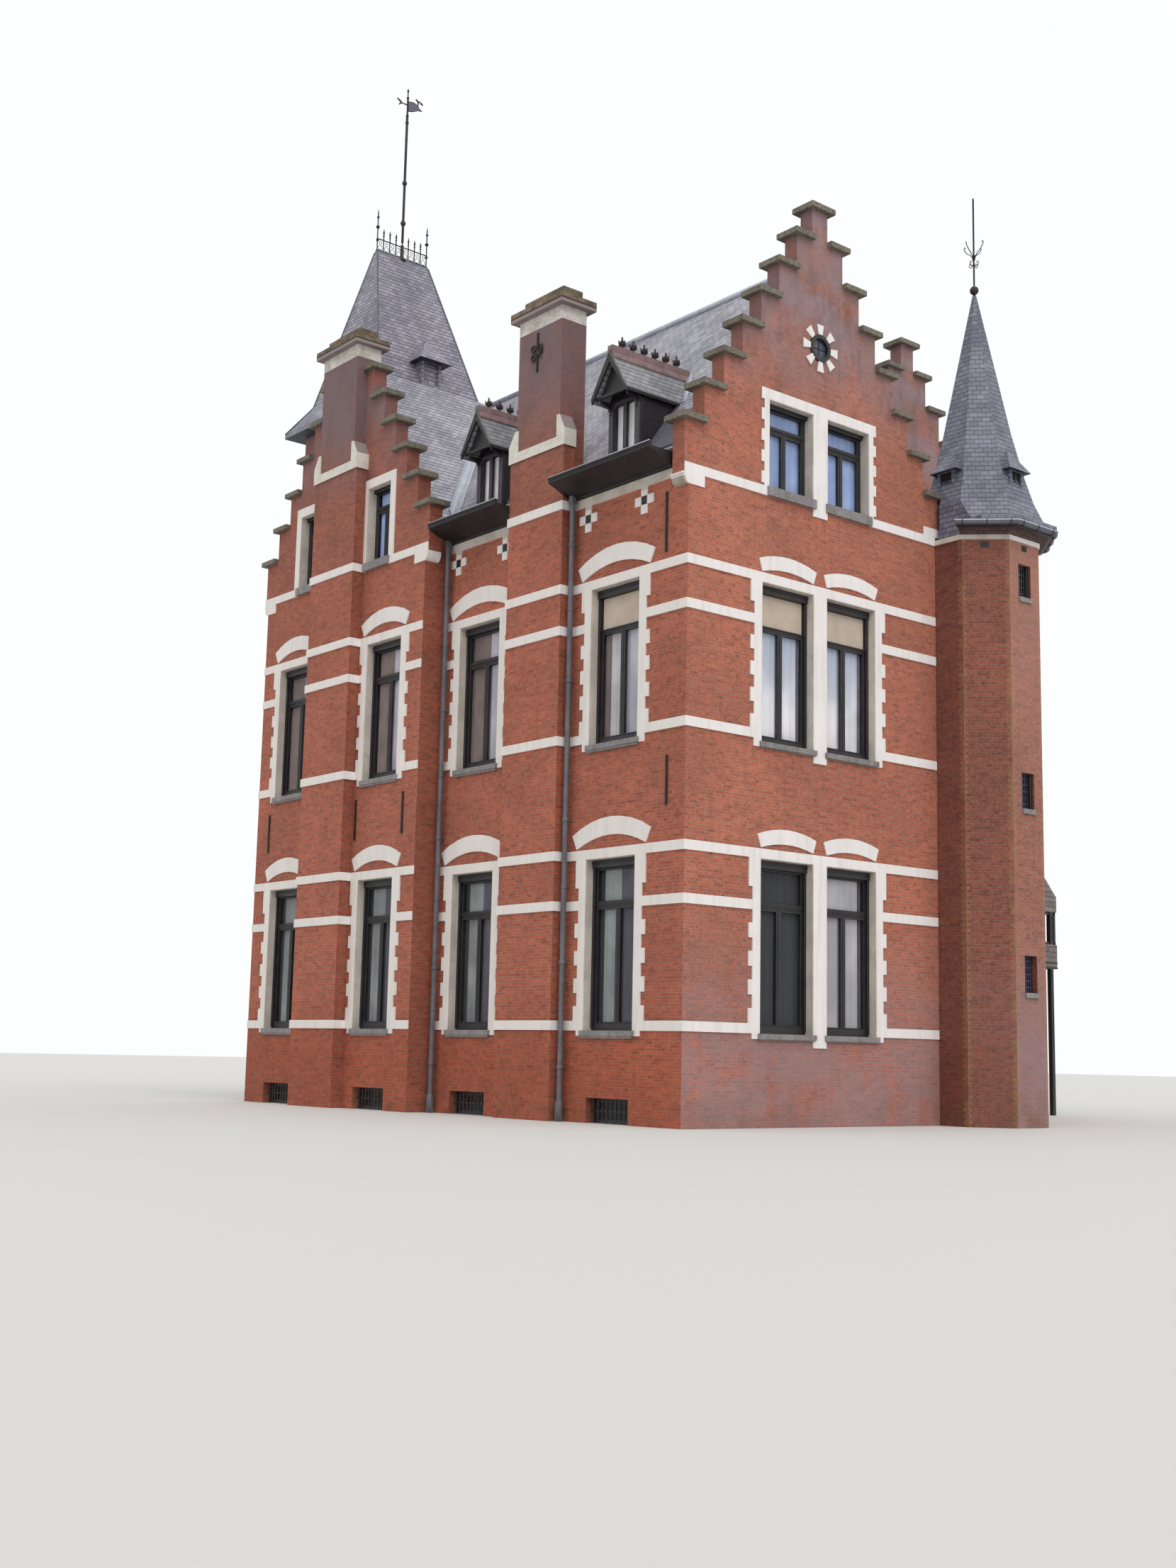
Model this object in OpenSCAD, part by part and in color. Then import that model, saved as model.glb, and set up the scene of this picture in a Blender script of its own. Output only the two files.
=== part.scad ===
// Brick town hall with stepped gables. Millimetres, +Z up, ground at Z = 0.
// Plan origin of the inner frame is the main street corner; the whole is centred at the end.

/* [Plan] */
// Width of the front gable facade
wing_w = 6410; // [6200:10:6600]
// Depth of the street side up to the projecting gable
side_len = 7030; // [6900:10:7200]
// Width of the projecting side gable
side_gable_w = 6200; // [6100:10:6300]
// How far the side gable stands out
side_step = 550; // [450:10:600]
// Overall width of the main body
body_w = 12400; // [12200:10:12700]
// Set back of the court gable from the front
court_set = 3000; // [2800:10:3200]
// Thickness of the outer walls
wall_t = 400; // [350:10:450]
// Thickness of the gable parapets
gable_t = 300; // [260:10:340]

/* [Storeys] */
// Height of the lowest white band
band_z = 1550; // [1500:10:1600]
// Floor to floor height
storey_h = 5000; // [4950:10:5050]
// Height of the band under the attic
attic_band_z = 10896; // [10850:2:10940]
// Height of a white band
band_h = 166; // [140:2:180]
// Height of the wall heads that carry the roof
wall_top = 11200; // [11180:5:11240]
// Thickness of the floors
floor_t = 200; // [150:10:250]

/* [Windows] */
// Width of a main window
win_w = 1300; // [1200:10:1340]
// Width of the pier between paired windows
pier_w = 330; // [300:10:380]
// Set back of the window frames from the wall face
reveal = 185; // [150:5:220]
// Width of a window frame member
frame_w = 70; // [60:5:80]
// Width of the stone beside a window
jamb_w = 178; // [160:2:200]
// How much wider the toothed blocks are
tooth_w = 90; // [60:2:110]
// How far the stonework stands proud of the brick
proud = 25; // [15:1:30]

/* [Gables] */
// Rise of one gable step
step_h = 696; // [680:2:705]
// Run of one gable step
step_w = 450; // [440:2:460]
// Height of the first coping
coping_z = 11930; // [11900:5:11960]
// Thickness of a coping
coping_t = 100; // [80:5:120]
// How far a coping hangs over
coping_out = 110; // [80:5:130]

/* [Roofs] */
// Height of the main ridges
ridge_z = 15705; // [15600:5:15800]
// Vertical thickness of the roof covering
roof_t = 450; // [400:10:500]
// Height of the tower ridge
tower_ridge_z = 19300; // [19000:50:19600]
// Height of the turret spire
spire_z = 16210; // [16000:10:16400]

/* [Hidden] */

over_h = 105;                       // overhang of the gable foot past the wall
annex_w = 1500;                     // low entrance wing at the right
wing_c = wing_w / 2;                // centre of the front gable
side_c = side_len + side_gable_w / 2;
rear_y = side_len + side_gable_w;
court_c = body_w - wing_w / 2;
mid_x = (wing_c + court_c) / 2;     // valley between the two parallel roofs
valley_y = side_len - (mid_x - wing_w) * side_gable_w / wing_w;
step_n = 7;
pin_w = 200;                        // half width of the pinnacle
pin_h = 630;
roof_gap = 10;                      // copings clear the slates by this
floor_top = [620, 5600, 10300];

// window heights above each storey's lowest band
sill_off = [0, -50];
head_off = [2945, 2772];
mid_off = [2066, 2005];
attic_z1 = 12670;
attic_in = 185;
attic_w = 1125;
attic_top = 12860;

function base_z(s) = band_z + s * storey_h;
function win_z0(s) = base_z(s) + sill_off[s];
function win_z1(s) = base_z(s) + head_off[s];
function half_w(h, k) = h + over_h - step_w * (k - 1);
function cap_z(k) = coping_z + step_h * (k - 1);
// the roof surface passes just under the inner end of the first coping
function eave_z(h) = ridge_z - (ridge_z - cap_z(1) + coping_t + roof_gap) * h / half_w(h, 2);

// facades: plane position, list of window centres and widths per storey
front_win = [wing_c - (pier_w + win_w) / 2, wing_c + (pier_w + win_w) / 2];
court_win = [court_c - (pier_w + win_w) / 2, court_c + (pier_w + win_w) / 2];
left_win = [1840, 5860];
side_win_w = 1250;
side_pitch = 1755;
side_win = [side_c - side_pitch, side_c + side_pitch];
side_attic = 1355;
side_ring = 600;                    // half width of the stone round a side attic window
side_attic_win = [side_c - side_attic, side_c + side_attic];
side_attic_w = 850;
rear_n = 4;
rear_win = [for (i = [0 : rear_n - 1]) body_w * (i + 0.5) / rear_n];
east_gable_win = [side_c - (pier_w + win_w) / 2, side_c + (pier_w + win_w) / 2];

// chimneys: side chimney on the left wall, gable chimney on the side gable
chim_y = [3080, 4690];
shaft_y = [3220, 4510];
breast_out = 260;
shaft_x = [-breast_out, 320];
chim_shoulder = 12120;
gchim_half = 830;
gshaft_half = 675;
gchim_y = [side_c - gchim_half, side_c + gchim_half];
gshaft_y = [side_c - gshaft_half, side_c + gshaft_half];
gchim_x = -side_step - breast_out;
cap_out = 130;
stack_d = shaft_x[1] - shaft_x[0];

// turret
tur_r = 1090;
tur_in = 20;                        // turret face set into the wing corner
tur_c = [wing_w + tur_r - tur_in, -180];
tur_t = 300;
tur_top = 10990;

// tower
tow_w = 2930;
tow_x0 = 200;
tow_x = [tow_x0, tow_x0 + tow_w];
tow_y = [rear_y - tow_w, rear_y];
tow_top = 15000;
tow_half = tow_w / 2;
tow_t = 250;
tow_c = [(tow_x[0] + tow_x[1]) / 2, (tow_y[0] + tow_y[1]) / 2];

module slab_y(y0, y1) translate([0, y1, 0]) rotate([90, 0, 0]) linear_extrude(y1 - y0) children();
module slab_x(x0, x1) translate([x0, 0, 0]) rotate([90, 0, 90]) linear_extrude(x1 - x0) children();
module box(a, b) translate(a) cube(b - a);
module rect(a, b) translate(a) square(b - a);

// opening of one window down to the underside of its sill
module hole(c, w, z0, z1) rect([c - w / 2, z0], [c + w / 2, z1]);
sill_t = 90;
// wall zones under, between and over the two window rows, up to a given top
function zones(top) = [[0, win_z0(0) - sill_t], [win_z1(0), win_z0(1) - sill_t], [win_z1(1), top]];
module strips(u0, u1, top) for (z = zones(top)) rect([u0, z[0]], [u1, z[1]]);
// brick piers beside and between the windows of both storeys
module piers(u0, u1, cs, w) for (s = [0, 1]) {
  e = concat([u0], [for (c = cs) each [c - w / 2, c + w / 2]], [u1]);
  for (i = [0 : len(cs)]) rect([e[2 * i], win_z0(s) - sill_t], [e[2 * i + 1], win_z1(s)]);
}
attic_z0 = attic_band_z + band_h;
function attic_cs(c) = [for (s = [-1, 1]) c + s * (attic_in + attic_w / 2)];
module attic_holes(c) for (u = attic_cs(c)) hole(u, attic_w, attic_band_z - 1, attic_z1);

// stepped gable outline of brick, half is the half width of the wall below
module gable_shape(c, half, n) {
  for (k = [1 : n])
    rect([c - half_w(half, k), k == 1 ? attic_band_z : cap_z(k - 1) - coping_t],
      [c + half_w(half, k), cap_z(k) - coping_t]);
  if (n == step_n) rect([c - pin_w, cap_z(n) - coping_t], [c + pin_w, cap_z(n) + pin_h - coping_t]);
}
oculus_z = 13980;
oculus_r = 210;

module front_wall() color("firebrick") building() slab_y(0, wall_t) strips(0, wing_w, attic_band_z);
module front_piers() color("firebrick") building() {
  slab_y(0, wall_t) piers(0, wing_w, front_win, win_w);
  slab_y(court_set, court_set + wall_t) piers(wing_w, body_w, court_win, win_w);
  slab_y(rear_y - wall_t, rear_y) piers(-side_step + wall_t, body_w - wall_t, rear_win, win_w);
}
module side_piers() color("firebrick") building() {
  slab_x(0, wall_t) piers(wall_t, side_len, left_win, win_w);
  slab_x(-side_step, -side_step + wall_t) piers(side_len, rear_y, side_win, side_win_w);
  slab_x(body_w - wall_t, body_w) piers(court_set + wall_t, rear_y, east_gable_win, win_w);
}

// twelve sided eye in a gable
module eye(c) translate([c, oculus_z]) circle(r = oculus_r, $fn = 12);
module front_gable() color("firebrick") building()
  slab_y(0, gable_t) difference() {
    gable_shape(wing_c, wing_w / 2, step_n);
    attic_holes(wing_c);
    eye(wing_c);
    // its overhang stands on the turret
    rect([wing_w, attic_band_z - 1], [wing_w + over_h + 1, tur_top + seat]);
  }

base_win_w = 1100;
base_win_h = 420;
module left_wall() color("firebrick") building()
  slab_x(0, wall_t) difference() {
    union() {
      strips(wall_t, side_len, wall_top);
      rect([gable_t, attic_band_z], [wall_t, wall_top]);
    }
    for (c = left_win) hole(c, base_win_w, -1, base_win_h);
  }

module side_gable_wall() color("firebrick") building()
  slab_x(-side_step, -side_step + wall_t) difference() {
    strips(side_len, rear_y, attic_band_z);
    for (c = side_win) hole(c, base_win_w, -1, base_win_h);
  }
module side_gable() color("firebrick") building()
  slab_x(-side_step, -side_step + gable_t) difference() {
    gable_shape(side_c, side_gable_w / 2, step_n - 1);
    for (c = side_attic_win) hole(c, side_attic_w, attic_band_z - 1, attic_z1);
  }

module rear_wall() color("firebrick") building()
  slab_y(rear_y - wall_t, rear_y) {
    strips(-side_step + wall_t, body_w - wall_t, wall_top);
    rect([-side_step + gable_t, attic_band_z], [body_w - gable_t, wall_top]);
  }

module right_wall() color("firebrick") building() {
  slab_x(body_w - wall_t, body_w) strips(court_set + wall_t, rear_y, attic_band_z);
  slab_x(body_w - wall_t, body_w)
    rect([court_set + gable_t, attic_band_z], [side_len - over_h, wall_top]);
}
module right_gable() color("firebrick") building()
  slab_x(body_w - gable_t, body_w) difference() {
    gable_shape(side_c, side_gable_w / 2, step_n);
    attic_holes(side_c);
    eye(side_c);
  }

module court_wall() color("firebrick") building()
  slab_y(court_set, court_set + wall_t) strips(wing_w, body_w, attic_band_z);
module court_gable() color("firebrick") building() difference() {
  slab_y(court_set, court_set + gable_t) difference() {
    gable_shape(court_c, wing_w / 2, step_n);
    attic_holes(court_c);
  }
  wing_prism(0, court_set + wall_t);
  box([0, court_set - 1, attic_band_z - 1], [wing_w, court_set + wall_t, wall_top]);
}

// short walls that join the facades standing at different depths
module return_walls() color("firebrick") building() {
  box([wing_w - wall_t, wall_t, 0], [wing_w, court_set + wall_t, wall_top]);
  box([-side_step + wall_t, side_len, 0], [wall_t, side_len + wall_t, wall_top]);
  box([wing_w - wall_t, gable_t, attic_band_z], [wing_w, wall_t, wall_top]);
  box([-side_step + gable_t, side_len, attic_band_z], [-side_step + wall_t, side_len + wall_t, wall_top]);
}

// octagon with flats on the axes
module octagon(r) circle(r = r / cos(22.5), $fn = 8);
module at_turret() translate([tur_c[0], tur_c[1], 0]) rotate(22.5) children();

slit_w = 370;
slits = [[2420, 3100], [5810, 6490], [9840, 10480]];
module stair_turret() color("firebrick") building()
  difference() {
    union() {
      at_turret() linear_extrude(tur_top) octagon(tur_r);
      box([wing_w, 0, 0], [tur_c[0], tur_c[1] + tur_r, tur_top]);
    }
    translate([0, 0, -1]) at_turret() linear_extrude(tur_top + 2) octagon(tur_r - tur_t);
    for (s = slits) box([tur_c[0] - slit_w / 2, tur_c[1] - tur_r - 1, s[0] - sill_t],
      [tur_c[0] + slit_w / 2, tur_c[1], s[1]]);
    box([wing_w - wall_t, tur_c[1] - tur_r - 1, -1], [wing_w, 2 * tur_r, tur_top + 2]);
  }

module tower_walls() color("firebrick") building()
  difference() {
    box([tow_x[0], tow_y[0], floor_top[2]], [tow_x[1], tow_y[1], tow_top]);
    box([tow_x[0] + tow_t, tow_y[0] + tow_t, 0], [tow_x[1] - tow_t, tow_y[1] - tow_t, tow_top + 1]);
    box([tow_x[0] - 1, rear_y - wall_t, 0], [tow_x[1] + 1, rear_y + 1, wall_top]);
  }

// floor outline inside the walls
module floor_shape() {
  rect([wall_t, wall_t], [wing_w - wall_t, court_set + wall_t]);
  rect([wall_t, court_set + wall_t], [body_w - wall_t, side_len + wall_t]);
  rect([-side_step + wall_t, side_len + wall_t], [body_w - wall_t, rear_y - wall_t]);
}
module floor_slab(s) translate([0, 0, floor_top[s] - floor_t]) linear_extrude(floor_t) floor_shape();
module floors() color("tan") building() for (s = [0 : 2]) floor_slab(s);

// roof sections: closed triangle over a span and the hollow under it
module span_shape(c, half) polygon([[c - half, wall_top], [c - half, eave_z(half)], [c, ridge_z],
  [c + half, eave_z(half)], [c + half, wall_top]]);
module void_shape(c, half) polygon([[c - half + roof_seat, wall_top - 1], [c - half + roof_seat, wall_top],
  [c, ridge_z - roof_t], [c + half - roof_seat, wall_top], [c + half - roof_seat, wall_top - 1]]);
roof_seat = 200;
ridge_y = side_c;

module wing_prism(y0, y1) slab_y(y0, y1) span_shape(wing_c, wing_w / 2);
module roof_outer() {
  wing_prism(gable_t, ridge_y);
  slab_y(court_set + gable_t, ridge_y) span_shape(court_c, wing_w / 2);
  slab_x(-side_step + gable_t, body_w - gable_t) span_shape(side_c, side_gable_w / 2);
}
module roof_inner() {
  slab_y(0, ridge_y) void_shape(wing_c, wing_w / 2);
  slab_y(court_set, ridge_y) void_shape(court_c, wing_w / 2);
  slab_x(-side_step, body_w) void_shape(side_c, side_gable_w / 2);
}
module roof_shell() difference() {
  roof_outer();
  roof_inner();
  box([shaft_x[0], shaft_y[0], wall_top - 1], [shaft_x[1], shaft_y[1], ridge_z]);
  box([tow_x[0], tow_y[0], wall_top - 1], [tow_x[1], tow_y[1] + 1, ridge_z + 1]);
  box([gchim_x, gshaft_y[0], wall_top], [gchim_x + stack_d, gshaft_y[1], ridge_z + 1]);
  for (c = left_win) dormer_well(c);
  box([body_w - gable_t, side_len - over_h, wall_top - 1], [body_w + 1, rear_y, ridge_z]);
  box([body_w - gable_t - coping_out, side_len - over_h - coping_out, cap_z(1) - coping_t],
    [body_w + 1, side_c - half_w(side_gable_w / 2, 2), ridge_z]);
}
// plan regions of the three roofs, split along the valleys
module region(pts) translate([0, 0, wall_top - 2]) linear_extrude(ridge_z - wall_top + 4) polygon(pts);
module wing_roof() color("slategray") building() intersection() {
  roof_shell();
  region([[0, 0], [wing_w, 0], [wing_w, court_set + gable_t], [mid_x, court_set + gable_t],
    [mid_x, valley_y], [wing_c, ridge_y], [0, side_len]]);
}
module court_roof() color("slategray") building() intersection() {
  roof_shell();
  region([[mid_x, court_set + gable_t], [body_w, court_set + gable_t], [body_w, side_len],
    [court_c, ridge_y], [mid_x, valley_y]]);
}
module cross_roof() color("slategray") building() intersection() {
  roof_shell();
  region([[-side_step, side_len], [0, side_len], [wing_c, ridge_y],
    [mid_x, valley_y], [court_c, ridge_y],
    [body_w, side_len], [body_w, rear_y], [-side_step, rear_y]]);
}

// dormers on the left slope
dorm_half = 410;
dorm_face = 130;                    // front of the cheeks behind the wall face
dorm_z0 = 11425;
dorm_eave = 12800;
dorm_ridge = 13560;
dorm_t = 60;
dorm_out = 250;
dorm_win = 300;
dorm_win_z = [235, 100];
dorm_cut = 250;                     // the slates stop this far in, under the dormer
dorm_board = 140;                   // depth of the bargeboards
dorm_edge = 120;                    // drop of the hood at its eaves
dorm_eave_out = 80;
dorm_back = 300;
dorm_foot = eave_z(wing_c);
slope = (ridge_z - dorm_foot) / wing_c;
function slope_x(z) = (z - dorm_foot) / slope;
module dormer_shape(c, h, r, z0)
  polygon([[c - h, z0], [c - h, dorm_eave], [c, r], [c + h, dorm_eave], [c + h, z0]]);
module dormer_hole(c, d) rect([c - dorm_win + d, dorm_z0 + dorm_win_z[0] + d],
  [c + dorm_win - d, dorm_eave - dorm_win_z[1] - d]);
module dormer_well(c) slab_x(dorm_cut, slope_x(dorm_ridge) - dorm_back)
  rect([c - dorm_half + dorm_t, dorm_foot], [c + dorm_half - dorm_t, dorm_eave]);
module dormer_cap(c) polygon([[c - dorm_half - dorm_eave_out, dorm_eave - dorm_edge],
  [c - dorm_half - dorm_eave_out, dorm_eave - dorm_t], [c, dorm_ridge],
  [c + dorm_half + dorm_eave_out, dorm_eave - dorm_t],
  [c + dorm_half + dorm_eave_out, dorm_eave - dorm_edge], [c, dorm_ridge - dorm_board]]);
module dormers() color("dimgray") building() for (c = left_win) difference() {
  union() {
    slab_x(dorm_face, slope_x(dorm_ridge)) dormer_shape(c, dorm_half, dorm_ridge - dorm_edge, dorm_foot);
    slab_x(-dorm_out, slope_x(dorm_ridge)) dormer_cap(c);
  }
  slab_x(dorm_face + dorm_t, slope_x(dorm_ridge) - dorm_back)
    rect([c - dorm_half + dorm_t, dorm_foot], [c + dorm_half - dorm_t, dorm_eave - dorm_t]);
  slab_x(0, dorm_cut) dormer_hole(c, 0);
  wing_prism(0, side_len);
}

// pavilion roof of the tower: flared foot, steep sides and a short ridge
tow_foot = 350;
tow_lip = 100;
tow_flare = 750;
tow_break = tow_top + tow_flare;
tow_in = 100;
tow_ridge = 700;
tow_edge = 60;
tow_attic = 700;
module tower_profile(c, top) polygon([[c - tow_half - tow_foot, tow_top],
  [c - tow_half - tow_foot, tow_top + tow_lip], [c - tow_half + tow_in, tow_break], [c - top, tower_ridge_z],
  [c + top, tower_ridge_z], [c + tow_half - tow_in, tow_break],
  [c + tow_half + tow_foot, tow_top + tow_lip], [c + tow_half + tow_foot, tow_top]]);
module tower_solid() intersection() {
  slab_y(tow_y[0] - 2 * tow_foot, tow_y[1] + 2 * tow_foot) tower_profile(tow_c[0], tow_ridge);
  slab_x(tow_x[0] - 2 * tow_foot, tow_x[1] + 2 * tow_foot) tower_profile(tow_c[1], tow_edge);
}
tow_luc_w = 520;
tow_luc_z = [for (d = [50, 650, 1300]) tow_break + d];
tow_luc_front = 1400;
module tower_roof() color("slategray") building() difference() {
  union() {
    tower_solid();
    translate([tow_c[0], tow_c[1], 0]) lucarne(tow_luc_w, tow_luc_front, tow_luc_z);
  }
  box([tow_x[0] + tow_t, tow_y[0] + tow_t, tow_top - 1],
    [tow_x[1] - tow_t, tow_y[1] - tow_t, tow_top + tow_attic]);
  translate([0, 0, seat]) roof_outer();
  roof_outer();
}

spire_eave = 11280;
spire_out = 330;
spire_lip = 90;
// radius and height above the eave of the spire's flared foot
flare = [[1240, 0], [1030, 480], [870, 1020], [640, 1960]];
spire_tip = 40;
luc_w = 400;
luc_z = [11900, 12380, 12880];
luc_front = 950;
// small roof window: width, front face from the axis, and heights of foot, eave and peak
luc_side = 60;
luc_foot = 80;
luc_head = 40;
luc_deep = 70;
luc_hood = 230;
luc_lap = 20;
luc_spread = 1.15;
luc_tip = 12;
module lucarne(w, front, z) {
  difference() {
    box([-w / 2, -front, z[0]], [w / 2, -front / 2, z[1]]);
    box([-w / 2 + luc_side, -front - 1, z[0] + luc_foot],
      [w / 2 - luc_side, -front + luc_deep, z[1] - luc_head]);
  }
  translate([0, -front + luc_hood, z[1] - luc_lap]) rotate(45)
    cylinder(r1 = w * luc_spread, r2 = luc_tip, h = z[2] - z[1], $fn = 4);
}
module turret_spire() color("slategray") building() difference() {
  union() {
    at_turret() {
      translate([0, 0, tur_top]) cone8(tur_r, tur_r + spire_out, spire_eave - tur_top - spire_lip);
      translate([0, 0, spire_eave - spire_lip]) cone8(tur_r + spire_out, tur_r + spire_out, spire_lip);
      for (i = [0 : 2]) translate([0, 0, spire_eave + flare[i][1]])
        cone8(flare[i][0], flare[i + 1][0], flare[i + 1][1] - flare[i][1]);
      translate([0, 0, spire_eave + flare[3][1]])
        cone8(flare[3][0], spire_tip, spire_z - spire_eave - flare[3][1]);
    }
    translate([tur_c[0], tur_c[1], 0]) for (a = [0, -90]) rotate(a) lucarne(luc_w, luc_front, luc_z);
  }
  box([0, -2 * tur_r, tur_top - 1], [wing_w, gable_t + coping_out, cap_z(5)]);
  box([0, -coping_out, attic_band_z],
    [wing_w + over_h + coping_out, gable_t + coping_out, cap_z(1) + roof_gap / 2]);
  box([0, gable_t, tur_top - 1], [wing_w, 2 * tur_r, wall_top]);
  wing_prism(gable_t, 2 * tur_r);
}
module cone8(r1, r2, h) cylinder(r1 = r1 / cos(22.5), r2 = r2 / cos(22.5), h = h, $fn = 8);

// off-white collar, oversailing cap and top block of a chimney
collar_h = 270;
cap_h = 180;
top_in = 60;
top_h = 220;
module chimney_cap(x0, x1, y0, y1, z0) {
  box([x0 - cap_out, y0 - cap_out, z0 + collar_h], [x1 + cap_out, y1 + cap_out, z0 + collar_h + cap_h]);
  box([x0, y0, z0], [x1, y1, z0 + collar_h]);
  box([x0 + top_in, y0 + top_in, z0 + collar_h + cap_h],
    [x1 - top_in, y1 - top_in, z0 + collar_h + cap_h + top_h]);
}
shaft_z = 14600;
shoulder_h = 190;
shoulder_out = 30;
ear_h = 420;
module left_chimney() color("firebrick") building() {
  box([-breast_out, chim_y[0], 0], [0, chim_y[1], chim_shoulder]);
  box([shaft_x[0], shaft_y[0], chim_shoulder - ear_h], [0, shaft_y[1], shaft_z]);
  box([shaft_x[0], shaft_y[0], wall_top], [shaft_x[1], shaft_y[1], shaft_z]);
  box([-breast_out - shoulder_out, chim_y[0] - shoulder_out, chim_shoulder],
    [0, chim_y[1] + shoulder_out, chim_shoulder + shoulder_h]);
  // sloped ears beside the shaft
  for (m = [0, 1]) slab_x(-breast_out - shoulder_out, 0) polygon([
    [chim_y[m] + (2 * m - 1) * shoulder_out, chim_shoulder + shoulder_h],
    [chim_y[m] + (2 * m - 1) * shoulder_out, chim_shoulder + shoulder_h + ear_h / 3],
    [shaft_y[m] + (2 * m - 1) * shoulder_out, chim_shoulder + shoulder_h + ear_h],
    [shaft_y[m] - (2 * m - 1) * top_in, chim_shoulder + shoulder_h + ear_h],
    [shaft_y[m] - (2 * m - 1) * top_in, chim_shoulder + shoulder_h]]);
  chimney_cap(shaft_x[0], shaft_x[1], shaft_y[0], shaft_y[1], shaft_z);
}
stack_z = 15600;
gable_shoulder = 13300;
module gable_chimney() color("firebrick") building() {
  box([gchim_x, gchim_y[0], 0], [-side_step, gchim_y[1], gable_shoulder]);
  box([gchim_x, gshaft_y[0], gable_shoulder], [-side_step, gshaft_y[1], stack_z]);
  box([gchim_x, gshaft_y[0], cap_z(step_n - 1) - coping_t], [gchim_x + stack_d, gshaft_y[1], stack_z]);
  box([gchim_x - shoulder_out, gchim_y[0] - shoulder_out, gable_shoulder - shoulder_h],
    [-side_step, gchim_y[1] + shoulder_out, gable_shoulder]);
  for (m = [0, 1]) slab_x(gchim_x - shoulder_out, -side_step) polygon([
    [gchim_y[m] + (2 * m - 1) * shoulder_out, gable_shoulder],
    [gchim_y[m] + (2 * m - 1) * shoulder_out, gable_shoulder + ear_h / 3],
    [gshaft_y[m] + (2 * m - 1) * shoulder_out, gable_shoulder + ear_h],
    [gshaft_y[m] - (2 * m - 1) * top_in, gable_shoulder + ear_h],
    [gshaft_y[m] - (2 * m - 1) * top_in, gable_shoulder]]);
  chimney_cap(gchim_x, gchim_x + stack_d, gshaft_y[0], gshaft_y[1], stack_z);
}

// gutter box section, u outwards from the wall
gut_out = 600;
gut_top = 11400;
gut_lip = 100;                      // upright front edge
gut_side = 60;
gut_deep = 70;
gut_gap = 25;                       // clear of a gable's overhang
gut_end = 450;                      // clear of a gable's foot
function soffit_z(u) = attic_z0 + u * (gut_top - gut_lip - attic_z0) / gut_out;
module gutter_shape() polygon([[0, attic_z0], [gut_out, gut_top - gut_lip], [gut_out, gut_top],
  [gut_out - gut_side, gut_top], [gut_out - gut_side, gut_top - gut_deep], [gut_side, gut_top - gut_deep],
  [gut_side, gut_top], [0, gut_top]]);
module gutter(a, len, ang) translate([a[0], a[1], 0]) rotate(ang) slab_y(0, len) gutter_shape();
gut_y0 = gable_t + 50;
gut_y1 = side_len - over_h - gut_gap;
tur_back = tur_c[1] + tur_r + gut_end;
module gutter_boxes() color("saddlebrown") building() {
  gutter([0, chim_y[0]], chim_y[0] - gut_y0, 180);
  gutter([0, gut_y1], gut_y1 - chim_y[1], 180);
  gutter([wing_w, tur_back], court_set - gut_end / 3 - tur_back, 0);
  gutter([body_w, court_set + gut_end], side_len - court_set - 2 * gut_end, 0);
  gutter([body_w - gut_end, rear_y], body_w - gut_end - tow_x[1] - tow_foot - 2 * gut_gap, 90);
}

pipe_r = 50;
pipe_out = 130;
pipe_top = attic_z0;
pipe_head = 60;
clips = [900, 2700, 5200, 7700, 10200];
clip_w = 30;
clip_h = 40;
module pipe(y) {
  translate([-pipe_out, y, 0]) cylinder(r = pipe_r, h = pipe_top, $fn = 12);
  slab_y(y - pipe_r, y + pipe_r) polygon([[-pipe_out - pipe_r, pipe_top - pipe_head],
    [-pipe_out + pipe_r, pipe_top - pipe_head], [-pipe_out + pipe_r, soffit_z(pipe_out - pipe_r)],
    [-pipe_out - pipe_r, soffit_z(pipe_out + pipe_r)]]);
  for (z = clips) box([-pipe_out, y - clip_w / 2, z], [0, y + clip_w / 2, z + clip_h]);
}
module downpipes() color("gray") building() {
  pipe(chim_y[0] - pipe_out);
  pipe(gut_y1 - pipe_r);
}

// white bands on each facade
bands = [for (s = [0, 1]) for (o = [0, mid_off[s]]) base_z(s) + o];
heads = [for (s = [0, 1]) win_z1(s)];
// the attic band runs on by other amounts, as it ends at or crosses the overhang of a gable
module band_rows(u0, u1, cut, attic_cut = [], more = [0, 0]) {
  for (z = bands) difference() {
    rect([u0, z], [u1, z + band_h]);
    for (c = cut) rect([c[0], z - 1], [c[1], z + band_h + 1]);
  }
  for (z = heads) rect([u0, z], [u1, z + band_h]);
  difference() {
    rect([u0 - more[0], attic_band_z], [u1 + more[1], attic_z0]);
    for (c = attic_cut) rect([c[0], attic_band_z - 1], [c[1], attic_z0 + 1]);
  }
}
wide_w = jamb_w + tooth_w;
function pair_cut(c) = [[c - pier_w / 2 - win_w - wide_w, c + pier_w / 2 + win_w + wide_w]];
function attic_pair_cut(c) = [[c - attic_in - attic_w - attic_wide, c + attic_in + attic_w + attic_wide]];
function attic_cuts(cs) = [for (c = cs) [c - side_attic_w / 2, c + side_attic_w / 2]];
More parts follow.
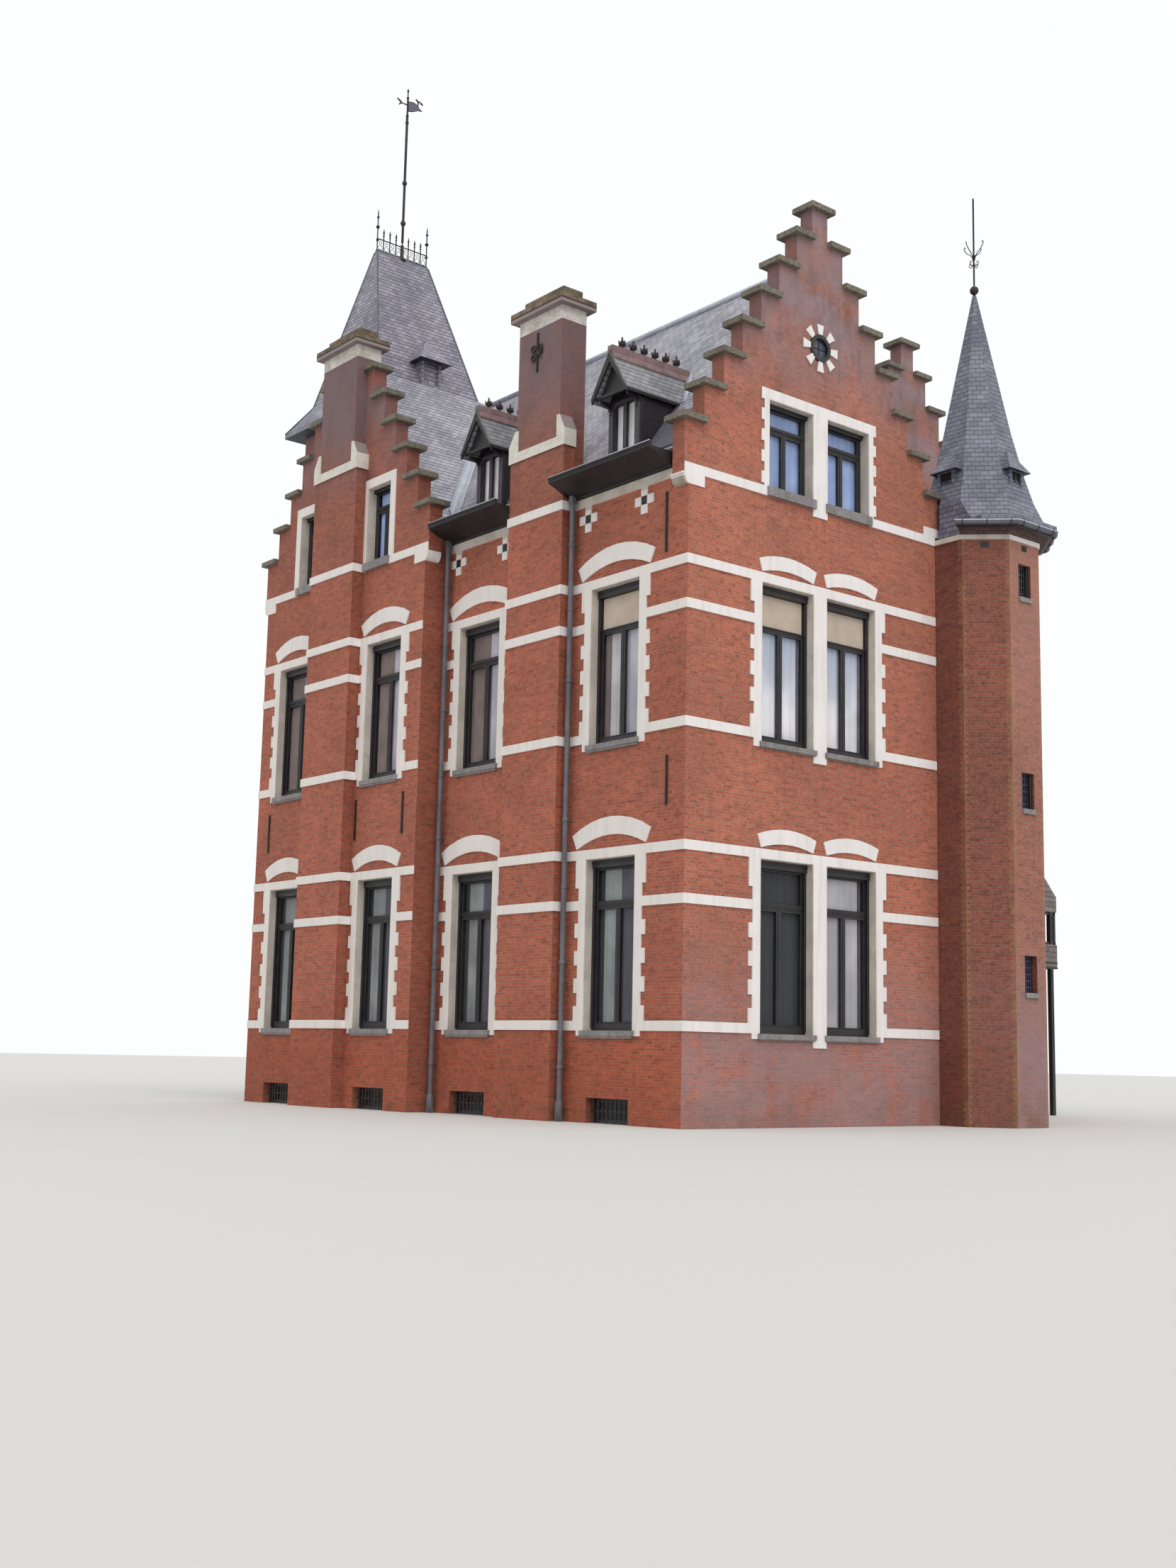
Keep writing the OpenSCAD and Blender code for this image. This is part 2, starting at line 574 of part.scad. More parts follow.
// stone beside the attic windows: plain width, toothed width, and pitch and height of a tooth
attic_jamb = 120;
attic_wide = 190;
attic_pitch = 385;
attic_tooth = 210;
function cuts(cs, w) = [for (c = cs) [c - w / 2 - wide_w, c + w / 2 + wide_w]];
module string_courses() color("white") building() {
  slab_y(-proud, 0) band_rows(-proud, tur_c[0] - tur_r, pair_cut(wing_c), attic_pair_cut(wing_c),
    [over_h - proud, 0]);
  slab_x(-proud, 0) band_rows(0, chim_y[0], cuts([left_win[0]], win_w), [], [-gable_t, 0]);
  slab_x(-proud, 0) band_rows(chim_y[1], side_len, cuts([left_win[1]], win_w));
  slab_x(-side_step - proud, -side_step) band_rows(side_len, gchim_y[0], cuts([side_win[0]], side_win_w),
    attic_cuts([side_attic_win[0]]), [over_h, 0]);
  slab_x(-side_step - proud, -side_step) band_rows(gchim_y[1], rear_y, cuts([side_win[1]], side_win_w),
    attic_cuts([side_attic_win[1]]), [0, over_h]);
  slab_x(body_w, body_w + proud) band_rows(side_len, rear_y, pair_cut(side_c), attic_pair_cut(side_c),
    [over_h, over_h]);
  slab_y(court_set - proud, court_set)
    band_rows(tur_c[0] + tur_r, body_w, pair_cut(court_c), attic_pair_cut(court_c), [0, over_h]);
  slab_y(rear_y, rear_y + proud)
    band_rows(-side_step, body_w, cuts(rear_win, win_w), [], [-gable_t, -gable_t]);
  breast_bands(-breast_out, 0, chim_y, chim_shoulder);
  breast_bands(gchim_x, -side_step, gchim_y, gable_shoulder - shoulder_h);
  turret_band();
}
module turret_band() difference() {
  translate([0, 0, attic_band_z]) at_turret() linear_extrude(tur_top - attic_band_z) octagon(tur_r + proud);
  translate([0, 0, attic_band_z - 1]) at_turret() linear_extrude(tur_top) octagon(tur_r);
  box([0, -proud, 0], [tur_c[0], court_set, tur_top + 1]);
}
module breast_bands(x0, x1, y, top) difference() {
  for (z = concat(bands, heads, [attic_band_z])) if (z + band_h < top)
    box([x0 - proud, y[0] - proud, z], [x1, y[1] + proud, z + band_h]);
  box([x0, y[0], 0], [x1 + 1, y[1], top]);
}

// one toothed jamb: wide blocks at the bands, notches between them; e is the opening's edge
// and m the side the teeth point to
tooth_n = 4;
tooth_part = 0.53;
module jamb(e, m, s) {
  p = (mid_off[s] - band_h) / tooth_n;
  z0 = base_z(s);
  module part(w, a, b) rect([min(e, e + m * w), a], [max(e, e + m * w), b]);
  part(jamb_w, win_z0(s) - sill_t, win_z1(s));
  part(wide_w, z0, z0 + band_h + tooth_part * p);
  for (k = [1 : tooth_n - 1]) part(wide_w, z0 + band_h + k * p, z0 + band_h + (k + tooth_part) * p);
  part(wide_w, z0 + mid_off[s], z0 + mid_off[s] + band_h);
  part(wide_w, z0 + mid_off[s] + band_h + p * (1 - tooth_part), win_z1(s));
}
module plain_jamb(e, m, s)
  rect([min(e, e + m * wide_w), win_z0(s) - sill_t], [max(e, e + m * wide_w), win_z1(s)]);
module jambs(cs, w) for (s = [0, 1]) for (c = cs) for (m = [-1, 1]) jamb(c + m * w / 2, m, s);
module plain_jambs(cs, w) for (s = [0, 1]) for (c = cs) for (m = [-1, 1]) plain_jamb(c + m * w / 2, m, s);
// the middle pier runs down past the sills in a small tab
pier_tab = 130;
module pair_jambs(c) for (s = [0, 1]) {
  for (m = [-1, 1]) jamb(c + m * (pier_w / 2 + win_w), m, s);
  rect([c - pier_w / 2, win_z0(s) - sill_t - pier_tab], [c + pier_w / 2, win_z1(s)]);
}
module attic_ring(c) {
  e = attic_in + attic_w;
  difference() {
    union() {
      rect([c - e - attic_jamb, attic_band_z], [c + e + attic_jamb, attic_top]);
      for (k = [0 : tooth_n]) rect([c - e - attic_wide, attic_top - k * attic_pitch - attic_tooth],
        [c + e + attic_wide, attic_top - k * attic_pitch]);
      rect([c - e - attic_wide, attic_band_z], [c + e + attic_wide, attic_z0]);
    }
    attic_holes(c);
  }
  rect([c - attic_in, attic_band_z - pier_tab], [c + attic_in, attic_band_z + 1]);
}
module window_surrounds() color("white") building() {
  slab_y(-proud, 0) { pair_jambs(wing_c); attic_ring(wing_c); }
  slab_x(-proud, 0) jambs(left_win, win_w);
  slab_x(-side_step - proud, -side_step) jambs(side_win, side_win_w);
  slab_x(-side_step - proud, -side_step) for (m = [-1, 1]) difference() {
    rect([side_c + m * side_attic - side_ring, attic_z0], [side_c + m * side_attic + side_ring, attic_top]);
    for (c = side_attic_win) hole(c, side_attic_w, attic_band_z, attic_z1);
    rect([gchim_y[0], attic_band_z], [gchim_y[1], attic_top + 1]);
  }
  slab_x(body_w, body_w + proud) { pair_jambs(side_c); attic_ring(side_c); }
  slab_y(court_set - proud, court_set) { pair_jambs(court_c); attic_ring(court_c); }
  slab_y(rear_y, rear_y + proud) plain_jambs(rear_win, win_w);
}

// segmental relieving arch between two arcs, each given by half chord, end height and rise
arc_n = 8;
function arc(c, h, z, rise) = let (r = (h * h + rise * rise) / (2 * rise), a = asin(h / r))
  [for (i = [0 : arc_n]) let (t = a * (2 * i / arc_n - 1)) [c + r * sin(t), z + rise - r + r * cos(t)]];
function back(v) = [for (i = [len(v) - 1 : -1 : 0]) v[i]];
arch_gap = 20;
module arch(c, z, inner, outer)
  polygon(concat(arc(c, inner[0], z + arch_gap, inner[1]),
    back(arc(c, outer[0], z + arch_gap + outer[2], outer[1]))));
// half chord and rise inside; half chord, rise and height of the ends outside
small_arch = [[640, 95], [720, 125, 225]];
large_arch = [[910, 205], [1035, 270, 250]];
side_arch = [[760, 170], [880, 230, 245]];
module arches(cs, a) for (s = [0, 1]) for (c = cs) arch(c, win_z1(s) + band_h, a[0], a[1]);
module window_arches() color("white") building() {
  slab_y(-proud, 0) arches(front_win, small_arch);
  slab_x(-proud, 0) arches(left_win, large_arch);
  slab_x(-side_step - proud, -side_step) arches(side_win, side_arch);
  slab_y(court_set - proud, court_set) arches([court_win[1]], small_arch);
}

// sills, frames and glass repeat per facade with a depth direction
sill_out = 70;
sill_nose = 45;
module sills(cs, w) for (s = [0, 1]) for (c = cs) hole(c, w, win_z0(s) - sill_t, win_z0(s));
module low_sills(cs, w) for (c = cs) hole(c, w, attic_band_z, attic_z0);
module sills_at(d0, d1, more) {
  slab_y(d0, d1) { sills(front_win, win_w + more); low_sills(attic_cs(wing_c), attic_w + more); }
  slab_x(d0, d1) sills(left_win, win_w + more);
  slab_x(-side_step + d0, -side_step + d1) {
    sills(side_win, side_win_w + more);
    low_sills(side_attic_win, side_attic_w + more);
  }
  slab_x(body_w - d1, body_w - d0) {
    sills(east_gable_win, win_w + more);
    low_sills(attic_cs(side_c), attic_w + more);
  }
  slab_y(court_set + d0, court_set + d1) {
    sills(court_win, win_w + more);
    low_sills(attic_cs(court_c), attic_w + more);
  }
  slab_y(rear_y - d1, rear_y - d0) sills(rear_win, win_w + more);
}
module window_sills() color("dimgray") building() {
  sills_at(-proud, reveal, 0);
  sills_at(-sill_out, -proud, 2 * sill_nose);
  for (z = slits) box([tur_c[0] - slit_w / 2, tur_c[1] - tur_r - sill_out / 2, z[0] - sill_t],
    [tur_c[0] + slit_w / 2, tur_c[1] - tur_r + small_in + small_t, z[0]]);
}

frame_t = 80;
module ring(c, w, z0, z1) difference() {
  hole(c, w, z0, z1);
  hole(c, w - 2 * frame_w, z0 + frame_w, z1 - frame_w);
}
module rings(cs, w) for (s = [0, 1]) for (c = cs) ring(c, w, win_z0(s) - sill_t, win_z1(s));
module attic_rings(c) for (s = [-1, 1])
  ring(c + s * (attic_in + attic_w / 2), attic_w, attic_z0, attic_z1);
module side_attic_rings() for (c = side_attic_win) ring(c, side_attic_w, attic_z0, attic_z1);
module frames_at(d0, d1) {
  slab_y(d0, d1) { rings(front_win, win_w); attic_rings(wing_c); }
  slab_x(d0, d1) rings(left_win, win_w);
  slab_x(-side_step + d0, -side_step + d1) { rings(side_win, side_win_w); side_attic_rings(); }
  slab_x(body_w - d1, body_w - d0) {
    rings(east_gable_win, win_w);
    attic_rings(side_c);
  }
  slab_y(court_set + d0, court_set + d1) { rings(court_win, win_w); attic_rings(court_c); }
  slab_y(rear_y - d1, rear_y - d0) rings(rear_win, win_w);
  slab_x(d0, d1) for (c = left_win) ring(c, base_win_w, 0, base_win_h);
  slab_x(-side_step + d0, -side_step + d1) for (c = side_win) ring(c, base_win_w, 0, base_win_h);
  slab_y(tur_c[1] - tur_r + small_in, tur_c[1] - tur_r + small_in + small_t)
    for (z = slits) difference() {
      hole(tur_c[0], slit_w, z[0], z[1]);
      hole(tur_c[0], slit_w - 2 * small_w, z[0] + small_w, z[1] - small_w);
    }
  slab_x(dorm_face + 5, dorm_face + 5 + small_t) for (c = left_win) difference() {
    dormer_hole(c, 0);
    dormer_hole(c, small_w);
  }
}
// small windows: frame member, its thickness and its set back in the turret
small_w = 45;
small_t = 50;
small_in = 110;
module window_frames() color("black") building() frames_at(reveal, reveal + frame_t);

module pane(c, w, z0, z1) hole(c, w - 2 * frame_w, z0 + frame_w, z1 - frame_w);
module panes(cs, w) for (s = [0, 1]) for (c = cs) pane(c, w, win_z0(s) - sill_t, win_z1(s));
module attic_panes(c) for (s = [-1, 1])
  pane(c + s * (attic_in + attic_w / 2), attic_w, attic_z0, attic_z1);
glass_in = 30;
glass_t = 12;
module window_glass() color("lightblue") building() {
  d0 = reveal + glass_in;
  d1 = d0 + glass_t;
  slab_y(d0, d1) { panes(front_win, win_w); attic_panes(wing_c); }
  slab_x(d0, d1) panes(left_win, win_w);
  slab_x(-side_step + d0, -side_step + d1) {
    panes(side_win, side_win_w);
    for (c = side_attic_win) pane(c, side_attic_w, attic_z0, attic_z1);
  }
  slab_x(body_w - d1, body_w - d0) {
    panes(east_gable_win, win_w);
    attic_panes(side_c);
  }
  slab_y(court_set + d0, court_set + d1) { panes(court_win, win_w); attic_panes(court_c); }
  slab_y(rear_y - d1, rear_y - d0) panes(rear_win, win_w);
  slab_x(d0, d1) for (c = left_win) pane(c, base_win_w, 0, base_win_h);
  slab_x(-side_step + d0, -side_step + d1) for (c = side_win) pane(c, base_win_w, 0, base_win_h);
  slab_y(tur_c[1] - tur_r + small_in + small_t / 2, tur_c[1] - tur_r + small_in + small_t / 2 + glass_t)
    for (z = slits) hole(tur_c[0], slit_w - 2 * small_w, z[0] + small_w, z[1] - small_w);
  slab_x(dorm_face + 5 + small_t / 2, dorm_face + 5 + small_t / 2 + glass_t)
    for (c = left_win) dormer_hole(c, small_w);
}

blind_part = 0.28;
module blind(c) rect([c - win_w / 2 + frame_w, win_z1(1) - frame_w - blind_part * (head_off[1] - sill_off[1])],
  [c + win_w / 2 - frame_w, win_z1(1) - frame_w]);
module roller_blinds() color("tan") building() {
  d0 = reveal + glass_in + glass_t + 5;
  slab_y(d0, d0 + 8) for (c = front_win) blind(c);
  slab_x(d0, d0 + 8) blind(left_win[0]);
}

// stone copings on both shoulders of each step
module coping_pair(c, half, n, first, sides) for (k = [first : n]) for (m = sides) {
  a = k == step_n ? pin_w : half_w(half, k + 1);
  rect([c + (m > 0 ? a : -half_w(half, k) - coping_out), cap_z(k) - coping_t],
    [c + (m > 0 ? half_w(half, k) + coping_out : -a), cap_z(k)]);
}
module pin_cap(c) rect([c - pin_w - coping_out, cap_z(step_n) + pin_h - coping_t],
  [c + pin_w + coping_out, cap_z(step_n) + pin_h]);
module gable_copings() color("gray") building() {
  slab_y(-coping_out, gable_t + coping_out) {
    coping_pair(wing_c, wing_w / 2, step_n, 1, [-1, 1]);
    pin_cap(wing_c);
  }
  slab_y(court_set - coping_out, court_set + gable_t + coping_out) {
    coping_pair(court_c, wing_w / 2, step_n, 2, [-1]);
    coping_pair(court_c, wing_w / 2, step_n, 1, [1]);
    pin_cap(court_c);
  }
  slab_x(body_w - gable_t - coping_out, body_w + coping_out) {
    coping_pair(side_c, side_gable_w / 2, step_n, 1, [-1, 1]);
    pin_cap(side_c);
  }
  difference() {
    slab_x(-side_step - coping_out, -side_step + gable_t + coping_out)
      coping_pair(side_c, side_gable_w / 2, step_n - 1, 1, [-1, 1]);
    box([gchim_x, gshaft_y[0], gable_shoulder + 1], [gchim_x + stack_d, gshaft_y[1], stack_z]);
  }
}

// white blocks: gable feet, ring of eight round the eye, and crosses under the eaves
foot_w = 350;
foot_tab = 200;
foot_face = 40;                     // upright face of a foot above its curve
foot_n = 6;
function foot_arc(i) = let (t = 90 * i / foot_n) [-over_h * cos(t),
  attic_band_z - foot_face - (foot_tab - foot_face) * sin(t)];
// corbel that carries the overhang of a gable
module corbel(u, m) polygon(concat([[u, attic_band_z], [u - m * over_h, attic_band_z]],
  [for (i = [0 : foot_n]) [u + m * foot_arc(i)[0], foot_arc(i)[1]]]));
module foot_plate(u, m) {
  corbel(u, m);
  rect([min(u, u + m * foot_w), attic_band_z - foot_tab], [max(u, u + m * foot_w), attic_band_z]);
}
// foot beside the turret, which stands on the band
foot_top = 11230;
module foot_high(u, m)
  rect([min(u - m * over_h, u + m * foot_w), attic_z0], [max(u - m * over_h, u + m * foot_w), foot_top]);
ring_n = 8;
ring_r = [240, 450];
ring_a = 11;
module eye_ring(c) translate([c, oculus_z]) for (i = [0 : ring_n - 1]) rotate(i * 360 / ring_n)
  polygon([[ring_r[0], -ring_r[0] * tan(ring_a)], [ring_r[1], -ring_r[1] * tan(ring_a)],
    [ring_r[1], ring_r[1] * tan(ring_a)], [ring_r[0], ring_r[0] * tan(ring_a)]]);
cross_y = [1110, 2630, 5120, 6640];
cross_b = 160;
module cross(c) for (o = [[-1, 1], [0, 0], [1, 1], [0, 2]])
  rect([c + (o[0] - 0.5) * cross_b, attic_band_z - (o[1] + 1) * cross_b],
    [c + (o[0] + 0.5) * cross_b, attic_band_z - o[1] * cross_b]);
module stone_blocks() color("white") building() {
  slab_y(-proud, 0) {
    foot_plate(0, 1);
    foot_high(wing_w, -1);
    eye_ring(wing_c);
  }
  slab_y(0, gable_t) corbel(0, 1);
  slab_x(-side_step - proud, -side_step) {
    foot_plate(side_len, 1);
    foot_plate(rear_y, -1);
  }
  slab_x(-side_step, -side_step + gable_t) {
    corbel(side_len, 1);
    corbel(rear_y, -1);
  }
  slab_x(body_w, body_w + proud) {
    foot_plate(side_len, 1);
    foot_plate(rear_y, -1);
    eye_ring(side_c);
  }
  slab_x(body_w - gable_t, body_w) corbel(rear_y, -1);
  slab_y(court_set - proud, court_set) foot_plate(body_w, -1);
  slab_y(court_set, court_set + gable_t) corbel(body_w, -1);
  slab_x(-proud, 0) for (c = cross_y) cross(c);
}

anchor_t = 30;
anchor_w = 40;
module anchor(y, z0, z1) box([-anchor_t, y - anchor_w / 2, z0], [0, y + anchor_w / 2, z1]);
left_anchors = [[530, 9620, 10670], [440, 5270, 6100]];
side_anchors = [7500, 9200, 12700];
side_anchor_z = [5320, 6140];
stack_cross = [3930, 13750, 14520, 14090];
module wall_anchors() color("black") building() {
  for (a = left_anchors) anchor(a[0], a[1], a[2]);
  translate([-side_step, 0, 0]) for (y = side_anchors) anchor(y, side_anchor_z[0], side_anchor_z[1]);
  // cross on the side chimney, and the dark middles of the white crosses
  translate([-breast_out, stack_cross[0], 0]) {
    anchor(0, stack_cross[1], stack_cross[2]);
    box([-anchor_t, -150, stack_cross[3]], [0, 150, stack_cross[3] + 1.5 * anchor_w]);
  }
  slab_x(-proud / 2, 0) for (c = cross_y)
    rect([c - cross_b / 2, attic_band_z - 2 * cross_b], [c + cross_b / 2, attic_band_z - cross_b]);
}

module ridge_crests() color("firebrick") building() for (c = left_win) difference() {
  box([-dorm_out, c - crest_w / 2, dorm_ridge - crest_seat],
    [slope_x(dorm_ridge), c + crest_w / 2, dorm_ridge + crest_up]);
  slab_x(-dorm_out - 1, slope_x(dorm_ridge) + 1) dormer_cap(c);
  wing_prism(0, side_len);
}
crest_w = 130;
crest_seat = 30;
crest_up = 80;

rail_t = 20;
rail_z = [60, 330];
crest_h = 450;
post_h = 950;
bar_n = 4;
bar_pitch = 170;
rod_r = 18;
rod_top = 18290;
ball_r = 90;
ball_z = 130;
module roof_ironwork() color("black") building() {
  // cresting on the tower ridge, then the rod and ball on the turret
  for (z = rail_z) box([tow_c[0] - tow_ridge, tow_c[1] - rail_t / 2, tower_ridge_z + z],
    [tow_c[0] + tow_ridge, tow_c[1] + rail_t / 2, tower_ridge_z + z + rail_t]);
  for (i = [-bar_n : bar_n]) translate([tow_c[0] + i * bar_pitch, tow_c[1], tower_ridge_z])
    box([-rail_t / 2, -rail_t / 2, 0], [rail_t / 2, rail_t / 2, abs(i) == bar_n ? post_h : crest_h]);
  translate([tur_c[0], tur_c[1], spire_z]) {
    cylinder(r = rod_r, h = rod_top - spire_z, $fn = 8);
    translate([0, 0, ball_z]) sphere(r = ball_r, $fn = 12);
  }
}
mast_top = 23600;
mast_r = 30;
vane_z = 22900;
hub_h = 500;
spindle_r = 14;
run_gap = 0.1;
seat = 0.3;
flag_x = [-350, 450];
flag_z = [23100, 23350];
flag_t = 16;
module tower_mast() color("black") building() translate([tow_c[0], tow_c[1], tower_ridge_z + crest_h]) {
  cylinder(r = mast_r, h = vane_z - tower_ridge_z - crest_h);
  cylinder(r = spindle_r, h = mast_top - tower_ridge_z - crest_h);
}
module weather_vane() color("black") building() translate([tow_c[0], tow_c[1], 0]) difference() {
  union() {
    translate([0, 0, vane_z + seat]) cylinder(r = mast_r, h = hub_h);
    box([flag_x[0], -flag_t / 2, flag_z[0]], [flag_x[1], flag_t / 2, flag_z[1]]);
  }
  translate([0, 0, vane_z]) cylinder(r = spindle_r + run_gap, h = 2 * hub_h);
}

// low entrance wing at the right, with a glazed bay on posts
annex_x1 = body_w + annex_w;
annex_y = [court_set + wall_t, side_len - 180];
annex_top = 6600;
annex_rise = 900;
annex_eave = 150;
annex_edge = 120;
door_w = 1200;
door_y = 5200;
door_z = 450;
door_h = 2500;
door_t = 80;
door_in = 120;
module annex_walls() color("firebrick") building() difference() {
  box([body_w, annex_y[0], 0], [annex_x1, annex_y[1], annex_top]);
  box([body_w - 1, annex_y[0] + gable_t, -1], [annex_x1 - gable_t, annex_y[1] - gable_t, annex_top + 1]);
  box([annex_x1 - wall_t, door_y, -1], [annex_x1 + 1, door_y + door_w, door_z + door_h]);
}
module annex_roof() color("slategray") building()
  slab_y(annex_y[0] - annex_eave, annex_y[1] + annex_eave) polygon([[body_w, annex_top],
    [annex_x1 + annex_eave, annex_top], [annex_x1 + annex_eave, annex_top + annex_edge],
    [body_w, annex_top + annex_rise]]);
module entrance_door() color("saddlebrown") building()
  box([annex_x1 - door_in - door_t, door_y, door_z], [annex_x1 - door_in, door_y + door_w, door_z + door_h]);
tread = 350;
step_side = 200;
module entrance_steps() color("gray") building() {
  box([annex_x1 - gable_t, door_y, 0], [annex_x1, door_y + door_w, door_z]);
  for (i = [1, 2]) box([annex_x1 + (i - 1) * tread, door_y - step_side, 0],
    [annex_x1 + i * tread, door_y + door_w + step_side, door_z - i * door_z / 3]);
}
oriel_out = 900;
oriel_w = 1500;
oriel_y = annex_y[0];
oriel_z = [3300, 3850, 4600, 4950, 5850];   // panel foot and head, eave foot and head, roof top
post_t = 100;
post_in = [60, 250];
module oriel() color("slategray") building() {
  slab_y(oriel_y, oriel_y + oriel_w) polygon([[annex_x1, oriel_z[2]], [annex_x1 + oriel_out, oriel_z[2]],
    [annex_x1 + oriel_out, oriel_z[3]], [annex_x1, oriel_z[4]]]);
  box([annex_x1, oriel_y, oriel_z[0]], [annex_x1 + oriel_out, oriel_y + oriel_w, oriel_z[1]]);
  for (y = [oriel_y, oriel_y + oriel_w - post_t]) for (x = [post_in[0], oriel_out - post_in[1]])
    box([annex_x1 + x, y, 0], [annex_x1 + x + post_t, y + post_t, oriel_z[2] + post_t]);
}

// extents used to centre the model
out_x0 = gchim_x - cap_out;
out_x1 = annex_x1 + oriel_out;
out_y0 = tur_c[1] - tur_r - spire_out;
out_y1 = rear_y + gut_out;
shift = [-(out_x0 + out_x1) / 2, -(out_y0 + out_y1) / 2, 0];
module building() translate(shift) children();

front_wall();
front_gable();
left_wall();
side_gable_wall();
side_gable();
rear_wall();
right_wall();
right_gable();
court_wall();
court_gable();
return_walls();
front_piers();
side_piers();
stair_turret();
tower_walls();
floors();
wing_roof();
cross_roof();
court_roof();
tower_roof();
turret_spire();
dormers();
left_chimney();
gable_chimney();
gutter_boxes();
downpipes();
string_courses();
window_surrounds();
window_arches();
window_sills();
window_frames();
window_glass();
roller_blinds();
gable_copings();
stone_blocks();
wall_anchors();
ridge_crests();
roof_ironwork();
tower_mast();
weather_vane();
entrance_door();
entrance_steps();
annex_walls();
annex_roof();
oriel();
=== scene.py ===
from math import cos, pi, radians, sin, tau

import bmesh
import bpy
from mathutils import Matrix, Vector


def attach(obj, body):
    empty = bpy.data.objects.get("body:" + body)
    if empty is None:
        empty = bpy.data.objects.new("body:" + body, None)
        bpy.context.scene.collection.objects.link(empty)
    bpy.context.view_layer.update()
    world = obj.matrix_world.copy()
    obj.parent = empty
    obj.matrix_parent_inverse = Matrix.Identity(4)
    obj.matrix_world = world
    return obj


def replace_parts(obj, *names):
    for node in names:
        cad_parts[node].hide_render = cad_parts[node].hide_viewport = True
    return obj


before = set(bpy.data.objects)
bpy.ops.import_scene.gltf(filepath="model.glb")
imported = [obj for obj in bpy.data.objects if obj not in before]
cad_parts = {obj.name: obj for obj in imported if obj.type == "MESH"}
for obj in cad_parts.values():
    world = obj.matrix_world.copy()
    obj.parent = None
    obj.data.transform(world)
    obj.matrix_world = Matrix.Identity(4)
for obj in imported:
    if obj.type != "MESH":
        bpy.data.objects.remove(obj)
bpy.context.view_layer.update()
link = bpy.context.scene.collection.objects.link

# The plan's own frame has its origin at the main street corner; SHIFT takes it to the row frame.
SHIFT = Vector((-6.93, -6.115, 0.0))
Z = Vector((0, 0, 1))
ALONG_X, ALONG_Y = (1, 0, 0), (0, 1, 0)
LEFTWARD, FRONTWARD = (-1, 0, 0), (0, -1, 0)
# axis of the turret and half its width, axis and flat top of the tower
CX, CY, TR = 7.48, -0.18, 1.09
TX, TY, TZ = 1.665, 11.765, 19.3
# middles of the front gable, the court gable and the side gable, and the rear and right walls
WING, COURT_MID, SIDE_MID = 3.205, 9.195, 10.13
BACK_Y, RIGHT_X = 13.23, 12.4


# ---------------------------------------------------------------- node helpers
def linear(c):
    """Display value 0-255 to linear 0-1."""
    c /= 255
    return c / 12.92 if c <= 0.04045 else ((c + 0.055) / 1.055) ** 2.4


